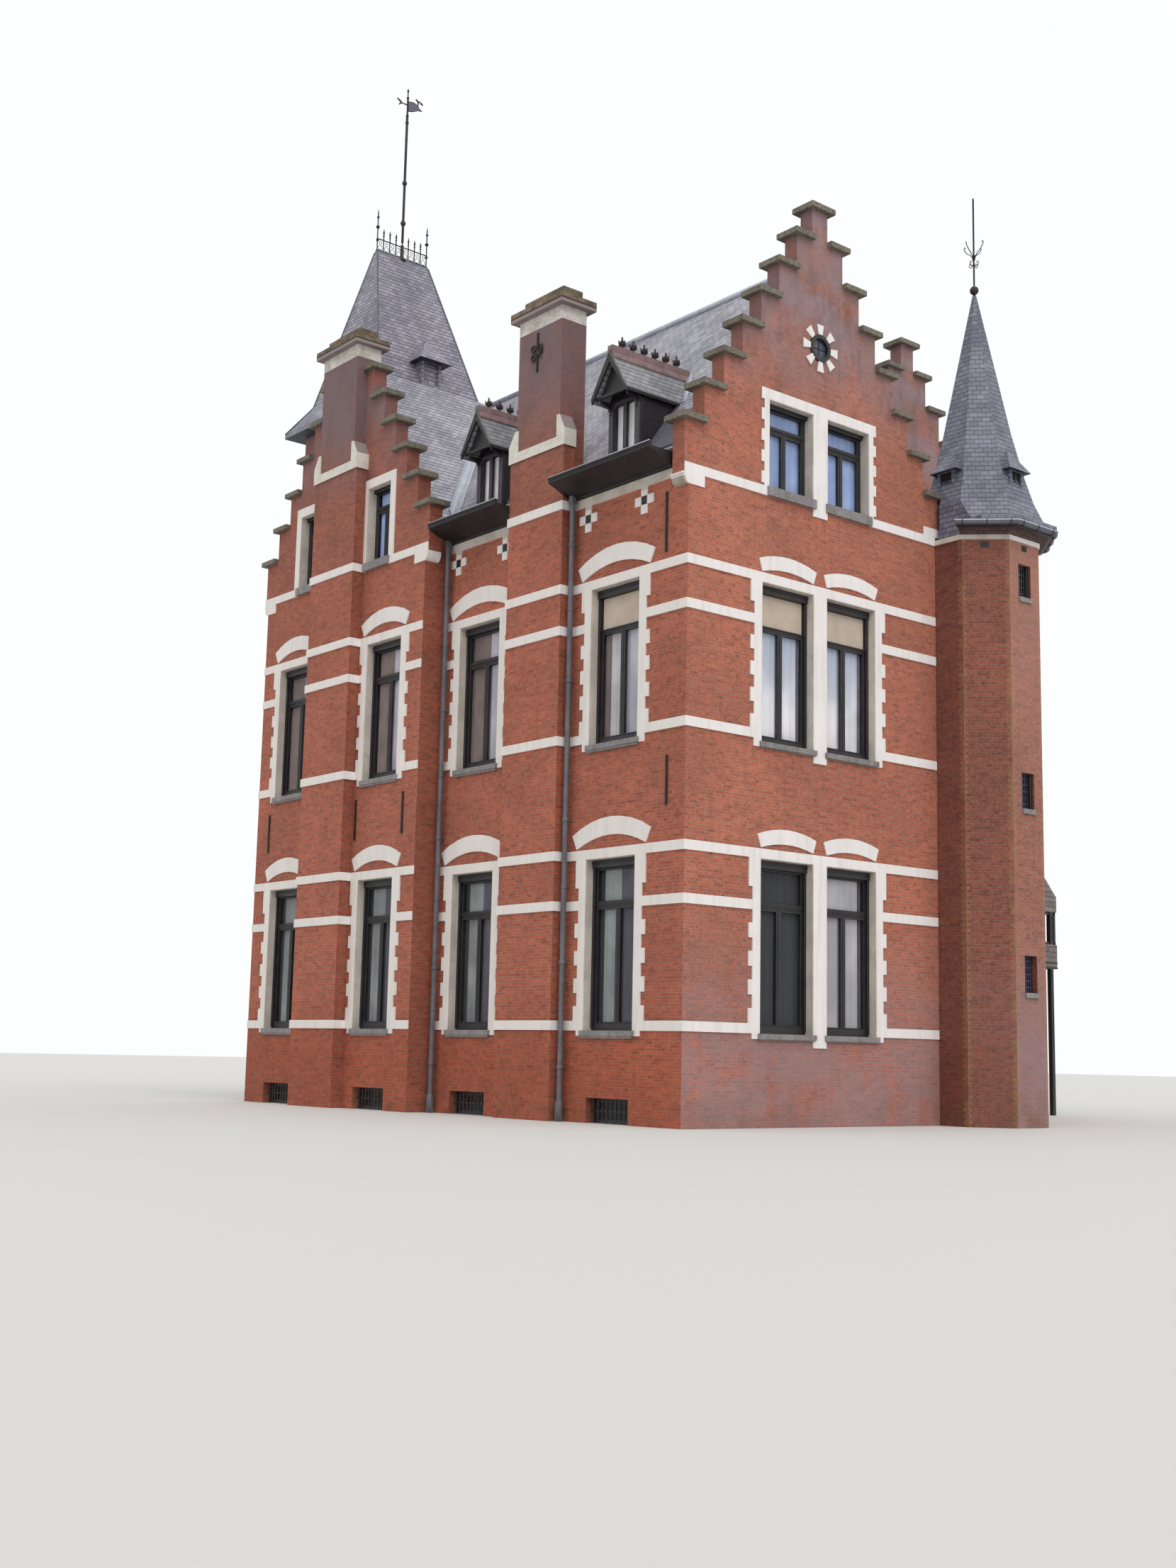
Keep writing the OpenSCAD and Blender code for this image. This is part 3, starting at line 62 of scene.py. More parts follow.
class Shader:
    """A node tree with short ways to add nodes; bsdf is its Principled or Background node."""

    def __init__(self, name, rough=0.8):
        self.m = bpy.data.materials.new(name)
        self.m.use_nodes = True
        self.t = self.m.node_tree
        self.bsdf = self.t.nodes["Principled BSDF"]
        self.bsdf.inputs["Roughness"].default_value = rough

    @classmethod
    def over(cls, m, node="Principled BSDF"):
        """The same helper on a material or world that exists."""
        s = cls.__new__(cls)
        s.m, s.t = m, m.node_tree
        s.bsdf = s.t.nodes[node]
        return s

    def put(self, socket, value):
        """Links or sets a socket; a colour of three numbers is a display colour 0-255."""
        if isinstance(value, bpy.types.NodeSocket):
            self.t.links.new(value, socket)
        elif socket.type == "RGBA" and len(value) == 3:
            socket.default_value = (*map(linear, value), 1.0)
        else:
            socket.default_value = value

    def add(self, kind, ins=None, **props):
        n = self.t.nodes.new("ShaderNode" + kind)
        for k, v in props.items():
            setattr(n, k, v)
        for k, v in (ins or {}).items():
            self.put(n.inputs[k], v)
        return n

    def math(self, op, a, b=0.0):
        return self.add("Math", {0: a, 1: b}, operation=op).outputs[0]

    def mul(self, a, b):
        return self.math("MULTIPLY", a, b)

    def most(self, a, b):
        return self.math("MAXIMUM", a, b)

    def above(self, v, limit):
        return self.math("GREATER_THAN", v, limit)

    def below(self, v, limit):
        return self.math("LESS_THAN", v, limit)

    def between(self, v, lo, hi):
        return self.mul(self.above(v, lo), self.below(v, hi))

    def vmath(self, op, a, b=(0, 0, 0)):
        n = self.add("VectorMath", {0: a, 1: b}, operation=op)
        return n.outputs["Value"] if op == "DOT_PRODUCT" else n.outputs[0]

    def scaled(self, v, by):
        return self.vmath("MULTIPLY", v, by)

    def dot(self, v, axis):
        return self.vmath("DOT_PRODUCT", v, axis)

    def parts(self, v):
        return self.add("SeparateXYZ", {0: v}).outputs

    def flat(self, u, v):
        return self.add("CombineXYZ", {0: u, 1: v}).outputs[0]

    def span(self, v, a, b, lo=0.0, hi=1.0):
        """Smooth step of v from a to b."""
        n = self.add("MapRange", {"Value": v, "From Min": a, "From Max": b, "To Min": lo, "To Max": hi})
        n.interpolation_type = "SMOOTHSTEP"
        return n.outputs[0]

    def facing(self, n, axis, lo, hi):
        return self.span(self.dot(n, axis), lo, hi)

    def mix(self, f, a, b, blend="MIX"):
        n = self.add("Mix", data_type="RGBA", blend_type=blend)
        for i, v in ((0, f), (6, a), (7, b)):
            self.put(n.inputs[i], v)
        return n.outputs[2]

    def dim(self, col, by):
        return self.mix(1.0, col, (*by, 1), "MULTIPLY")

    def tint(self, f, col, by):
        return self.mix(f, col, self.dim(col, by))

    def noise(self, vec, scale, detail=3.0, rough=0.55, lo=0.35, hi=0.65):
        n = self.add("TexNoise", {"Vector": vec, "Scale": scale, "Detail": detail, "Roughness": rough})
        return self.span(n.outputs[0], lo, hi)

    def bricks(self, uv, size, joint, smooth, squash, colours):
        """Half-bonded brick pattern; colours are two bricks and the mortar."""
        ins = {"Vector": uv, "Scale": 1.0, "Mortar Size": joint, "Mortar Smooth": smooth, "Bias": 0.0,
            "Brick Width": size[0], "Row Height": size[1]}
        ins.update(zip(("Color1", "Color2", "Mortar"), colours))
        return self.add("TexBrick", ins, offset=0.5, squash=squash, squash_frequency=2)

    def geo(self):
        g = self.add("NewGeometry")
        return g.outputs["Position"], g.outputs["True Normal"]

    def bump(self, h, dist, strength=1.0):
        n = self.add("Bump", {"Height": h, "Distance": dist, "Strength": strength})
        self.put(self.bsdf.inputs["Normal"], n.outputs[0])

    def colour(self):
        """What feeds the base colour so far."""
        return self.bsdf.inputs["Base Color"].links[0].from_socket

    def finish(self, colour, rough=None):
        self.put(self.bsdf.inputs["Base Color"], colour)
        if rough is not None:
            self.put(self.bsdf.inputs["Roughness"], rough)
        return self.m


def along_wall(s):
    """Position, normal, height, level distance along the wall, and the level direction."""
    p, n = s.geo()
    t = s.vmath("NORMALIZE", s.vmath("CROSS_PRODUCT", (0, 0, 1), n))
    return p, n, s.parts(p)[2], s.dot(p, t), t


# length of a stretcher and height of a course, both with their joint
COURSE = (0.195, 0.0555)
# how far back from the street the front's own colours reach
FRONT_DEPTH = 0.4


def brick(name, c1, c2, mortar, dark, moss=0.25):
    s = Shader(name)
    p, n, z, u, _ = along_wall(s)
    uv = s.flat(u, z)
    b = s.bricks(uv, COURSE, 0.0048, 0.3, 0.5, (c1, c2, mortar))
    # a second, unmortared pattern of the same bricks gives each one its own burn
    other = s.vmath("ADD", uv, (COURSE[0] * 200, COURSE[1] * 220, 0))
    b2 = s.bricks(other, COURSE, 0.0, 0.1, 0.5, ((0, 0, 0, 1), (1, 1, 1, 1), (0.5, 0.5, 0.5, 1)))
    burn = s.span(s.add("SeparateColor", {0: b2.outputs[0]}).outputs[0], 0.72, 1.0)
    col = s.mix(s.mul(burn, 0.46), b.outputs[0], dark)
    col = s.mix(s.mul(s.noise(p, 0.55, 5.0, 0.6), 0.32), col, dark)
    fine = s.noise(p, 18.0, 4.0, 0.6)
    col = s.mix(s.mul(fine, 0.16), col, (214, 178, 150))
    # greyer near the street, on the front, and towards the gable tops
    left = s.facing(n, LEFTWARD, 0.4, 0.9)
    x, y, _ = s.parts(s.vmath("SUBTRACT", p, tuple(SHIFT)))
    low = s.mul(s.mul(s.span(z, 4.0, 0.8), s.below(y, FRONT_DEPTH)), s.span(left, 0.0, 1.0, 0.8, 0.08))
    zone = s.most(low, s.mul(s.span(z, 12.0, 14.8), 1.1))
    pale = s.mul(zone, s.noise(p, 1.3, 5.0, 0.62, 0.22, 0.6))
    bloom = s.mix(s.mul(b.outputs["Fac"], 0.5), (144, 128, 136), (180, 172, 172))
    col = s.mix(s.mul(pale, 0.72), col, bloom)
    # dark runs below the copings, and painted shade on the side away from the sun
    runs = s.noise(s.scaled(p, (2.6, 2.6, 1.1)), 1.0, 6.0, 0.7, 0.46, 0.74)
    col = s.mix(s.mul(s.mul(runs, s.span(z, 10.9, 13.2)), 0.5), col, (84, 64, 62))
    col = s.tint(s.mul(left, 0.9), col, (0.90, 0.80, 0.76))
    # painted shade on the narrow returns of the side front; then the foot of the long side darker and browner, and
    # painted shade along its top under the gutters
    back = s.mul(s.above(y, FRONT_DEPTH), s.below(x, 0.3))
    col = s.tint(s.mul(back, s.facing(n, FRONTWARD, 0.5, 0.9)), col, (0.74, 0.62, 0.58))
    col = s.tint(s.mul(left, s.span(z, 2.4, 0.9)), col, (0.94, 0.78, 0.66))
    col = s.mix(s.mul(s.mul(left, s.span(z, 10.85, 11.1)), 0.2), col, (92, 70, 70))
    # moss on the gables and at the foot
    high = s.mul(s.span(z, 11.0, 15.0), s.noise(p, 1.7, 5.0, 0.65, 0.38, 0.72))
    foot = s.mul(s.span(z, 0.75, 0.0), s.noise(p, 2.2, 4.0, 0.6, 0.35, 0.7))
    col = s.mix(s.mul(s.most(high, foot), moss), col, (86, 76, 55))
    s.bump(s.math("ADD", s.mul(b.outputs["Fac"], -1.0), s.mul(fine, 0.35)), 0.006)
    return s.finish(col, 0.88)


def chimney(name, x_face, y0, y1, sh0, sh1, collar, *colours):
    """Brick stack with a white shoulder and ears, an off-white collar and a mossy cap."""
    s = Shader.over(brick(name, *colours))
    p, n = s.geo()
    x, y, z = s.parts(s.vmath("SUBTRACT", p, tuple(SHIFT)))
    slab = collar + 0.27
    # painted shade: the stack turns greyer and darker upward
    col = s.mix(s.span(z, sh0 - 0.5, sh1 + 0.4, 0.0, 0.42), s.colour(), (106, 100, 106))
    proud = s.most(s.below(x, x_face - 0.004), s.most(s.below(y, y0), s.above(y, y1)))
    ears = s.mul(s.between(z, sh0, sh1), proud)
    moss = s.noise(p, 4.0, 5.0, 0.65, 0.35, 0.65)
    white = s.mix(s.mul(moss, 0.25), (228, 224, 214), (158, 150, 130))
    aged = s.mix(moss, (228, 222, 214), (188, 181, 170))
    mossy = s.mix(moss, (142, 122, 102), (92, 84, 68))
    # the slab's hollow underside is paler and its lip dark
    mossy = s.mix(s.below(z, slab + 0.095), mossy, (60, 52, 50))
    mossy = s.mix(s.below(z, slab + 0.065), mossy, (150, 136, 134))
    up = s.above(s.parts(n)[2], 0.3)
    for mask, paint in ((ears, white), (s.mul(ears, up), mossy), (s.between(z, collar, slab), aged),
            (s.above(z, slab), mossy)):
        col = s.mix(mask, col, paint)
    return s.finish(col)


def slate(name, c1, c2, lichen=0.35, size=(0.17, 0.115)):
    s = Shader(name, 0.5)
    p, n, _, u, t = along_wall(s)
    v = s.dot(p, s.vmath("CROSS_PRODUCT", n, t))
    b = s.bricks(s.flat(u, v), size, 0.0045, 0.2, 1.0, (c1, c2, (50, 48, 60)))
    step = s.math("FRACT", s.math("DIVIDE", v, size[1]))
    # painted shadow along the lower edge of each row of slates
    col = s.mix(s.span(step, 0.24, 0.0, 0.0, 0.8), b.outputs[0], (52, 50, 64))
    patch = s.noise(p, 0.9, 5.0, 0.65)
    col = s.mix(s.mul(patch, 0.35), col, (74, 80, 92))
    col = s.mix(s.mul(s.noise(p, 5.5, 5.0, 0.7, 0.52, 0.7), lichen), col, (138, 136, 112))
    s.bump(s.math("ADD", s.mul(step, -0.9), s.mul(b.outputs["Fac"], -0.5)), 0.010)
    return s.finish(col, s.span(patch, 0.0, 1.0, 0.42, 0.62))


def two_way(name, m, light_board, dark_board):
    """Keeps a slate on the sloping faces and puts boards on the upright ones."""
    s = Shader.over(m)
    p, n = s.geo()
    wall = s.below(s.math("ABSOLUTE", s.parts(n)[2]), 0.25)
    grain = s.noise(s.scaled(p, (4.0, 4.0, 30.0)), 1.0, 4.0, 0.6)
    m.name = name
    return s.finish(s.mix(wall, s.colour(), s.mix(grain, light_board, dark_board)))


def stone(name, base, dirt, streak=0.5, rough=0.75, warm=None, moss=(0.6, (84, 84, 60)), shade_and_grime=None):
    s = Shader(name, rough)
    p, n = s.geo()
    x, _, z = s.parts(p)
    blotch = s.noise(p, 2.3, 5.0, 0.62)
    speck = s.noise(p, 34.0, 3.0, 0.6)
    long = s.noise(s.scaled(p, (9.0, 9.0, 0.8)), 1.0, 4.0, 0.6, 0.45, 0.72)
    col = s.mix(s.mul(blotch, 0.45), base, warm or dirt)
    col = s.mix(s.mul(long, streak), col, dirt)
    col = s.mix(s.mul(speck, 0.12), col, (0.9, 0.9, 0.86, 1))
    top = s.mul(s.span(s.parts(n)[2], 0.5, 0.9), s.noise(p, 6.0, 4.0, 0.6, 0.3, 0.6))
    col = s.mix(s.mul(top, moss[0]), col, moss[1])
    if shade_and_grime:
        # painted shade, with some grime, on the band below the gutters of the long side
        left = s.above(s.dot(n, LEFTWARD), 0.7)
        under_gutters = s.mul(s.span(z, 10.80, 10.86), s.mul(left, s.above(x, SHIFT.x - 0.08)))
        col = s.mix(s.mul(under_gutters, s.span(blotch, 0.0, 1.0, 0.55, 0.9)), col, shade_and_grime)
        # painted shade on every face of this stone turned like the long side
        col = s.mix(s.mul(left, 0.25), col, (206, 196, 178))
    s.bump(s.mul(speck, 0.3), 0.004)
    return s.finish(col)


def timber(name, base, dark, rough=0.6, wear=0.25, boards=0.0):
    """Painted or plain wood; boards is the width of one board, if any show."""
    s = Shader(name, rough)
    p = s.geo()[0]
    grain = s.noise(s.scaled(p, (3.0, 3.0, 34.0)), 1.0, 4.0, 0.6)
    col = s.mix(s.mul(grain, 0.5), base, dark)
    col = s.mix(s.mul(s.noise(p, 2.6, 4.0, 0.6), wear), col, (110, 100, 88))
    h = s.mul(grain, 0.3)
    if boards:
        f = s.math("FRACT", s.math("DIVIDE", along_wall(s)[3], boards))
        gap = s.span(s.math("ABSOLUTE", s.math("SUBTRACT", f, 0.5)), 0.46, 0.5)
        col = s.mix(gap, col, (14, 12, 10))
        h = s.math("SUBTRACT", h, s.mul(gap, 2.0))
    s.bump(h, 0.004)
    return s.finish(col)


def metal(name, base, stain, metallic=0.0, rough=0.5, scale=3.0, amount=0.5):
    s = Shader(name, rough)
    tc = s.add("TexCoord").outputs["Object"]
    a = s.noise(tc, scale, 5.0, 0.65)
    streaks = s.noise(s.scaled(tc, (14.0, 14.0, 1.2)), 1.0, 3.0, 0.6)
    col = s.mix(s.mul(a, amount), base, stain)
    col = s.mix(s.mul(streaks, amount * 0.5), col, stain)
    s.bsdf.inputs["Metallic"].default_value = metallic
    s.bump(a, 0.002)
    return s.finish(col)


def glass(name):
    """Thin dusty glass, a little clearer above the ground floor."""
    s = Shader(name, 0.04)
    tc = s.add("TexCoord").outputs["Object"]
    film = s.noise(tc, 0.9, 2.0, 0.5)
    s.bsdf.inputs["IOR"].default_value = 1.5
    s.bump(s.noise(tc, 1.3, 2.0, 0.5), 0.01, 0.25)
    clear = s.mul(s.above(s.parts(s.geo()[0])[2], 6.0), 0.13)
    s.put(s.bsdf.inputs["Alpha"], s.math("SUBTRACT", s.span(film, 0.0, 1.0, 0.15, 0.22), clear))
    return s.finish(s.mix(s.mul(film, 0.35), (38, 40, 46), (78, 84, 92)))


def cloth(name, base, shade, high=None):
    """Curtain or blind; high is what its colour turns to up the first floor's windows."""
    s = Shader(name, 0.9)
    p = s.geo()[0]
    s.bsdf.inputs["Sheen Weight"].default_value = 0.1
    s.bump(s.noise(s.scaled(p, (1.0, 1.0, 0.15)), 24.0, 3.0, 0.6), 0.002)
    col = s.mix(s.mul(s.noise(p, 3.0, 3.0, 0.5), 0.4), base, shade)
    if high:
        col = s.mix(s.mul(s.span(s.parts(p)[2], 6.9, 8.6), 0.8), col, high)
    return s.finish(col)


def turret_brick(name, *colours):
    """Brick with painted light on the facet turned to the street and painted shade on its other facets and under the
    spire's eave, with ochre bricks toothed up its corners.
    """
    s = Shader.over(brick(name, *colours))
    p, n, z, _, t = along_wall(s)
    old = s.colour()
    # painted light on the facet turned to the street, paler and pinker upward; painted shade on the others
    lit = s.mix(s.span(z, 5.0, 10.0, 0.06, 0.24), old, (206, 160, 148))
    turn = s.facing(n, FRONTWARD, 0.72, 0.98)
    col = s.mix(turn, s.dim(old, (0.88, 0.82, 0.82)), s.dim(lit, (1.06, 1.02, 1.02)))
    # more painted shade on the facets turned left
    col = s.tint(s.facing(n, LEFTWARD, 0.75, 0.95), col, (0.86, 0.80, 0.80))
    # painted shade on the brick under the spire's eave
    col = s.mix(s.above(z, 10.9), col, (84, 52, 50))
    q = s.vmath("SUBTRACT", p, (SHIFT.x + CX, SHIFT.y + CY, 0))
    off = s.math("ABSOLUTE", s.dot(q, t))
    odd = s.above(s.math("FRACT", s.math("DIVIDE", z, 2 * COURSE[1])), 0.5)
    edge = s.above(off, s.math("SUBTRACT", 0.405, s.mul(odd, 0.045)))
    corner = s.mul(s.mul(edge, s.below(off, 0.46)), s.noise(p, 3.0, 4.0, 0.6, 0.25, 0.6))
    return s.finish(s.mix(s.mul(corner, 0.34), col, (168, 134, 92)))


def banded(m, bands, colour):
    """Paints the height bands of a material in another colour."""
    s = Shader.over(m)
    z = s.parts(s.geo()[0])[2]
    mask = 0.0
    for lo, hi in bands:
        mask = s.most(s.between(z, lo, hi), mask)
    return s.finish(s.mix(mask, s.colour(), colour))


# brick sets: two bricks, the mortar and the dark burn
RED = ((196, 100, 70), (166, 82, 60), (172, 152, 138), (116, 62, 50))
DULL = ((160, 86, 66), (132, 68, 54), (148, 134, 124), (86, 52, 46))
SHADE = ((86, 46, 43), (68, 37, 36), (76, 60, 58), (50, 32, 32))
BRICK = brick("brick_wall", *RED)
BRICK_DARK = turret_brick("brick_turret", *DULL, 0.4)
STACK = chimney("brick_side_chimney", -0.26, 3.215, 4.515, 12.12, 12.75, 14.60, *RED)
STACK_2 = chimney("brick_gable_chimney", -0.81, 9.45, 10.81, 13.11, 13.75, 15.60, *RED)
HOOD = two_way("dormer_slate_and_boards", slate("dormer", (172, 172, 176), (138, 138, 144)),
    (40, 37, 43), (26, 24, 28))
SLATE = slate("roof_slate", (190, 188, 198), (154, 152, 164))
# the oriel's posts and its window are dark
ORIEL = banded(slate("oriel_slate", (142, 126, 118), (112, 98, 92), 0.2), ((-1.0, 3.29), (3.86, 4.59)),
    (30, 28, 32))
SLATE_TOWER = slate("tower_slate", (164, 160, 174), (128, 124, 138), 0.3, (0.16, 0.10))
SLATE_NEW = slate("spire_slate", (130, 132, 148), (102, 104, 122), 0.25, (0.16, 0.10))
WHITE = stone("white_stone", (240, 235, 234), (176, 168, 160), 0.22, 0.7, (230, 223, 219),
    shade_and_grime=(168, 156, 142))
BEIGE = stone("beige_reveal", (214, 204, 192), (158, 148, 140), 0.3)
# white stone painted grey for the shade under the gable's overhang
SHADED_CORBEL = stone("corbel_painted_shade", (178, 168, 150), (124, 114, 98), 0.4)
BLUE = stone("blue_stone", (132, 127, 127), (86, 82, 82), 0.6, 0.65)
COPING = stone("mossy_coping", (110, 101, 84), (62, 57, 42), 0.8, 0.8, moss=(0.9, (80, 74, 44)))
FRAME = timber("window_paint", (36, 33, 38), (23, 21, 25), 0.45, 0.06)
GUTTER = timber("gutter_paint", (27, 24, 28), (15, 13, 16), 0.5, 0.05)
LATTICE = timber("lattice_paint", (84, 88, 112), (56, 58, 76), 0.4, 0.05)
BANNER = timber("vane_paint", (104, 98, 120), (74, 70, 88), 0.5, 0.05)
POST = timber("dormer_grey_paint", (76, 68, 80), (44, 40, 48), 0.6, 0.08)
BLACK_TIMBER = timber("dormer_paint", (34, 31, 35), (20, 18, 21), 0.5, 0.06)
DOOR = timber("door_boards", (74, 52, 36), (40, 28, 20), 0.5, boards=0.12)
FLOOR = timber("floor_boards", (150, 122, 92), (110, 84, 60), 0.6, boards=0.14)
IRON = metal("black_iron", (34, 33, 34), (62, 52, 44), 0.3, 0.55)
PANE = metal("oculus_pane", (52, 52, 84), (96, 108, 120), 0.0, 0.08, 4.0)
TERRA = metal("terracotta_crest", (150, 122, 122), (98, 84, 78), 0.0, 0.85, 7.0)
TERRA_DARK = metal("crest_knob_clay", (74, 56, 54), (44, 40, 38), 0.0, 0.85, 9.0)
ZINC_LIGHT = metal("zinc_flashing", (198, 203, 214), (158, 163, 176), 0.15, 0.5)
ZINC_DULL = metal("zinc_weathered", (108, 108, 118), (82, 82, 92), 0.2, 0.6)
VERGE = metal("mossy_zinc", (128, 130, 128), (76, 84, 70), 0.1, 0.7, 6.0, 0.7)
PIPE = metal("dark_pipe", (112, 110, 116), (72, 70, 76), 0.25, 0.5)
GLASS = glass("window_pane")
BLIND = cloth("blind_cloth", (200, 184, 168), (176, 158, 141))
NET = cloth("curtain_cloth", (250, 249, 254), (236, 236, 242), (196, 212, 240))
NET_BLUE = cloth("curtain_shaded", (178, 200, 248), (146, 170, 226))
NET_TOP = cloth("curtain_dormer", (255, 255, 255), (240, 242, 250))
NET_LILAC = cloth("curtain_lilac", (206, 203, 216), (188, 186, 200))
NET_GREY = cloth("curtain_green_grey", (196, 206, 204), (166, 176, 176))
NET_BROWN = cloth("curtain_brown", (138, 124, 120), (106, 94, 92))
# curtain cloth painted dark for the shade on it
NET_IN_SHADE = cloth("curtain_painted_shade", (122, 118, 134), (86, 82, 96))
NET_DULL = cloth("curtain_dull", (214, 212, 216), (200, 197, 202))
# dark cloth standing for the painted shade of an unlit room
NET_ROOM_SHADE = cloth("curtain_dark_room_shade", (70, 72, 78), (62, 64, 70))

# finishes of the CAD nodes; every other node is brick
FINISHES = {
    "floors": FLOOR,
    "wing_roof": SLATE, "cross_roof": SLATE, "court_roof": SLATE, "annex_roof": SLATE, "oriel": ORIEL,
    "tower_roof": SLATE_TOWER, "turret_spire": SLATE_NEW, "dormers": HOOD,
    "stair_turret": BRICK_DARK, "left_chimney": STACK, "gable_chimney": STACK_2,
    "gutter_boxes": GUTTER, "downpipes": PIPE,
    "string_courses": WHITE, "window_surrounds": WHITE, "window_arches": WHITE, "stone_blocks": WHITE,
    "window_sills": BLUE, "window_frames": FRAME, "window_glass": GLASS, "roller_blinds": BLIND,
    "gable_copings": COPING, "wall_anchors": IRON, "ridge_crests": TERRA, "roof_ironwork": IRON,
    "tower_mast": IRON, "weather_vane": IRON, "entrance_door": DOOR, "entrance_steps": BLUE,
}
for name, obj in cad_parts.items():
    obj.data.materials.clear()
    obj.data.materials.append(FINISHES.get(name, BRICK))


# ---------------------------------------------------------------- mesh helpers
class Facade:
    """A wall plane: u runs along it, v up, d outwards."""

    def __init__(self, x, y, u, n):
        self.o, self.u, self.n = Vector((x, y, 0)), Vector(u), Vector(n)

    def at(self, u, v, d):
        return self.o + self.u * u + Z * v + self.n * d


FRONT = Facade(0, 0, ALONG_X, FRONTWARD)
LEFT = Facade(0, 0, ALONG_Y, LEFTWARD)
SIDE = Facade(-0.55, 0, ALONG_Y, LEFTWARD)
COURT = Facade(0, 3.0, ALONG_X, FRONTWARD)
RIGHT = Facade(RIGHT_X, 0, ALONG_Y, ALONG_X)
REAR = Facade(0, BACK_Y, ALONG_X, ALONG_Y)


def circle(n):
    """Closed round of n unit points."""
    return [(cos(k * tau / n), sin(k * tau / n)) for k in range(n + 1)]


def placed(name, me, mat, body, smooth):
    """Makes an object of a mesh, with its material and body."""
    o = bpy.data.objects.new(name, me)
    link(o)
    me.materials.append(mat)
    if smooth:
        me.polygons.foreach_set("use_smooth", [True] * len(me.polygons))
    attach(o, body)
    return o


class Piece:
    """Collects faces in plan metres and turns them into one object."""

    def __init__(self, name, mat, slot, body="building"):
        self.name, self.mat, self.slot, self.body = name, mat, slot, body
        self.bm = bmesh.new()

    def solid(self, a, b):
        """A closed prism between two like rings of points."""
        va = [self.bm.verts.new(p) for p in a]
        vb = [self.bm.verts.new(p) for p in b]
        self.bm.faces.new(va[::-1])
        self.bm.faces.new(vb)
        for i in range(len(a)):
            j = (i + 1) % len(a)
            self.bm.faces.new((va[i], va[j], vb[j], vb[i]))

    def plate(self, f, pts, d0, d1):
        self.solid([f.at(u, v, d0) for u, v in pts], [f.at(u, v, d1) for u, v in pts])

    def bar(self, f, u0, u1, v0, v1, d0, d1):
        self.plate(f, [(u0, v0), (u1, v0), (u1, v1), (u0, v1)], d0, d1)

    def tube(self, pts, r, n=8):
        """A round bar along points, r a number or one per point."""
        pts = [Vector(p) for p in pts]
        rs = r if hasattr(r, "__len__") else [r] * len(pts)
        rings, side = [], None
        for i, p in enumerate(pts):
            d = (pts[min(i + 1, len(pts) - 1)] - pts[max(i - 1, 0)]).normalized()
            ref = side or Vector(ALONG_X if abs(d.x) < 0.9 else ALONG_Y)
            side = (ref - d * ref.dot(d)).normalized()
            up = d.cross(side)
            rings.append([self.bm.verts.new(p + (side * x + up * y) * rs[i]) for x, y in circle(n)[:-1]])
        for q, w in zip(rings, rings[1:]):
            for k in range(n):
                self.bm.faces.new((q[k], q[(k + 1) % n], w[(k + 1) % n], w[k]))
        self.bm.faces.new(rings[0][::-1])
        self.bm.faces.new(rings[-1])

    def lathe(self, c, prof, n=16):
        """Turned solid on an upright axis at c, from (radius, height) pairs."""
        self.tube([(c[0], c[1], c[2] + h) for r, h in prof], [r for r, h in prof], n)

    def done(self, bevel=0.0, smooth=False):
        bmesh.ops.recalc_face_normals(self.bm, faces=self.bm.faces)
        me = bpy.data.meshes.new(self.name)
        bmesh.ops.translate(self.bm, verts=self.bm.verts, vec=SHIFT)
        self.bm.to_mesh(me)
        self.bm.free()
        o = placed(self.name, me, self.mat, self.body, smooth)
        if bevel:
            m = o.modifiers.new("bevel", "BEVEL")
            m.width, m.segments, m.limit_method = bevel, 1, "ANGLE"
        return o


# ---------------------------------------------------------------- windows
# depth of a window behind its wall, width of the CAD's frame ring, thickness of a reveal's lining
REVEAL, RING, LINING = 0.185, 0.07, 0.012
# underside of the attic band, and how far the gables overhang the walls there
BAND, OVER = 10.896, 0.105
# sill and head of the windows of each floor
GROUND, FIRST, ATTIC = (1.55, 4.495), (6.5, 9.322), (11.062, 12.67)
# middles of the windows of the three street walls
FRONT_WIN, LEFT_WIN, SIDE_WIN = (2.39, 4.02), (1.84, 5.86), (8.375, 11.885)
# windows of the two main floors: wall, middle, width, sill and head
TALL = [
    (f, c, w, *floor)
    for f, cs, w in (
        (FRONT, FRONT_WIN, 1.3), (LEFT, LEFT_WIN, 1.3), (SIDE, SIDE_WIN, 1.25),
        (COURT, (8.38, 10.01), 1.3), (REAR, (1.55, 4.65, 7.75, 10.85), 1.3), (RIGHT, (9.315, 10.945), 1.3),
    )
    for c in cs
    for floor in (GROUND, FIRST)
]
# attic windows, a pair in each of the four gables: wall, middle, width
SMALL = [
    (f, mid + m * half, w)
    for f, mid, half, w in (
        (FRONT, WING, 0.7475, 1.125), (COURT, COURT_MID, 0.7475, 1.125),
        (RIGHT, SIDE_MID, 0.7475, 1.125), (SIDE, SIDE_MID, 1.355, 0.85),
    )
    for m in (-1, 1)
]
# first floor windows with a lowered blind
BLINDS = [(FRONT, FRONT_WIN[0]), (FRONT, FRONT_WIN[1]), (LEFT, LEFT_WIN[0])]


def lowered(f, c, z0):
    return z0 == FIRST[0] and (f, c) in BLINDS


def light(pc, f, u0, u1, v0, v1, w=0.043):
    """One casement's own frame inside u0..u1, v0..v1."""
    d0, d1 = -REVEAL + 0.004, -REVEAL - 0.05
    for a, b in ((u0, u0 + w), (u1 - w, u1)):
        pc.bar(f, a, b, v0, v1, d0, d1)
    for a, b in ((v0, v0 + w * 1.25), (v1 - w, v1)):
        pc.bar(f, u0 + w, u1 - w, a, b, d0, d1)


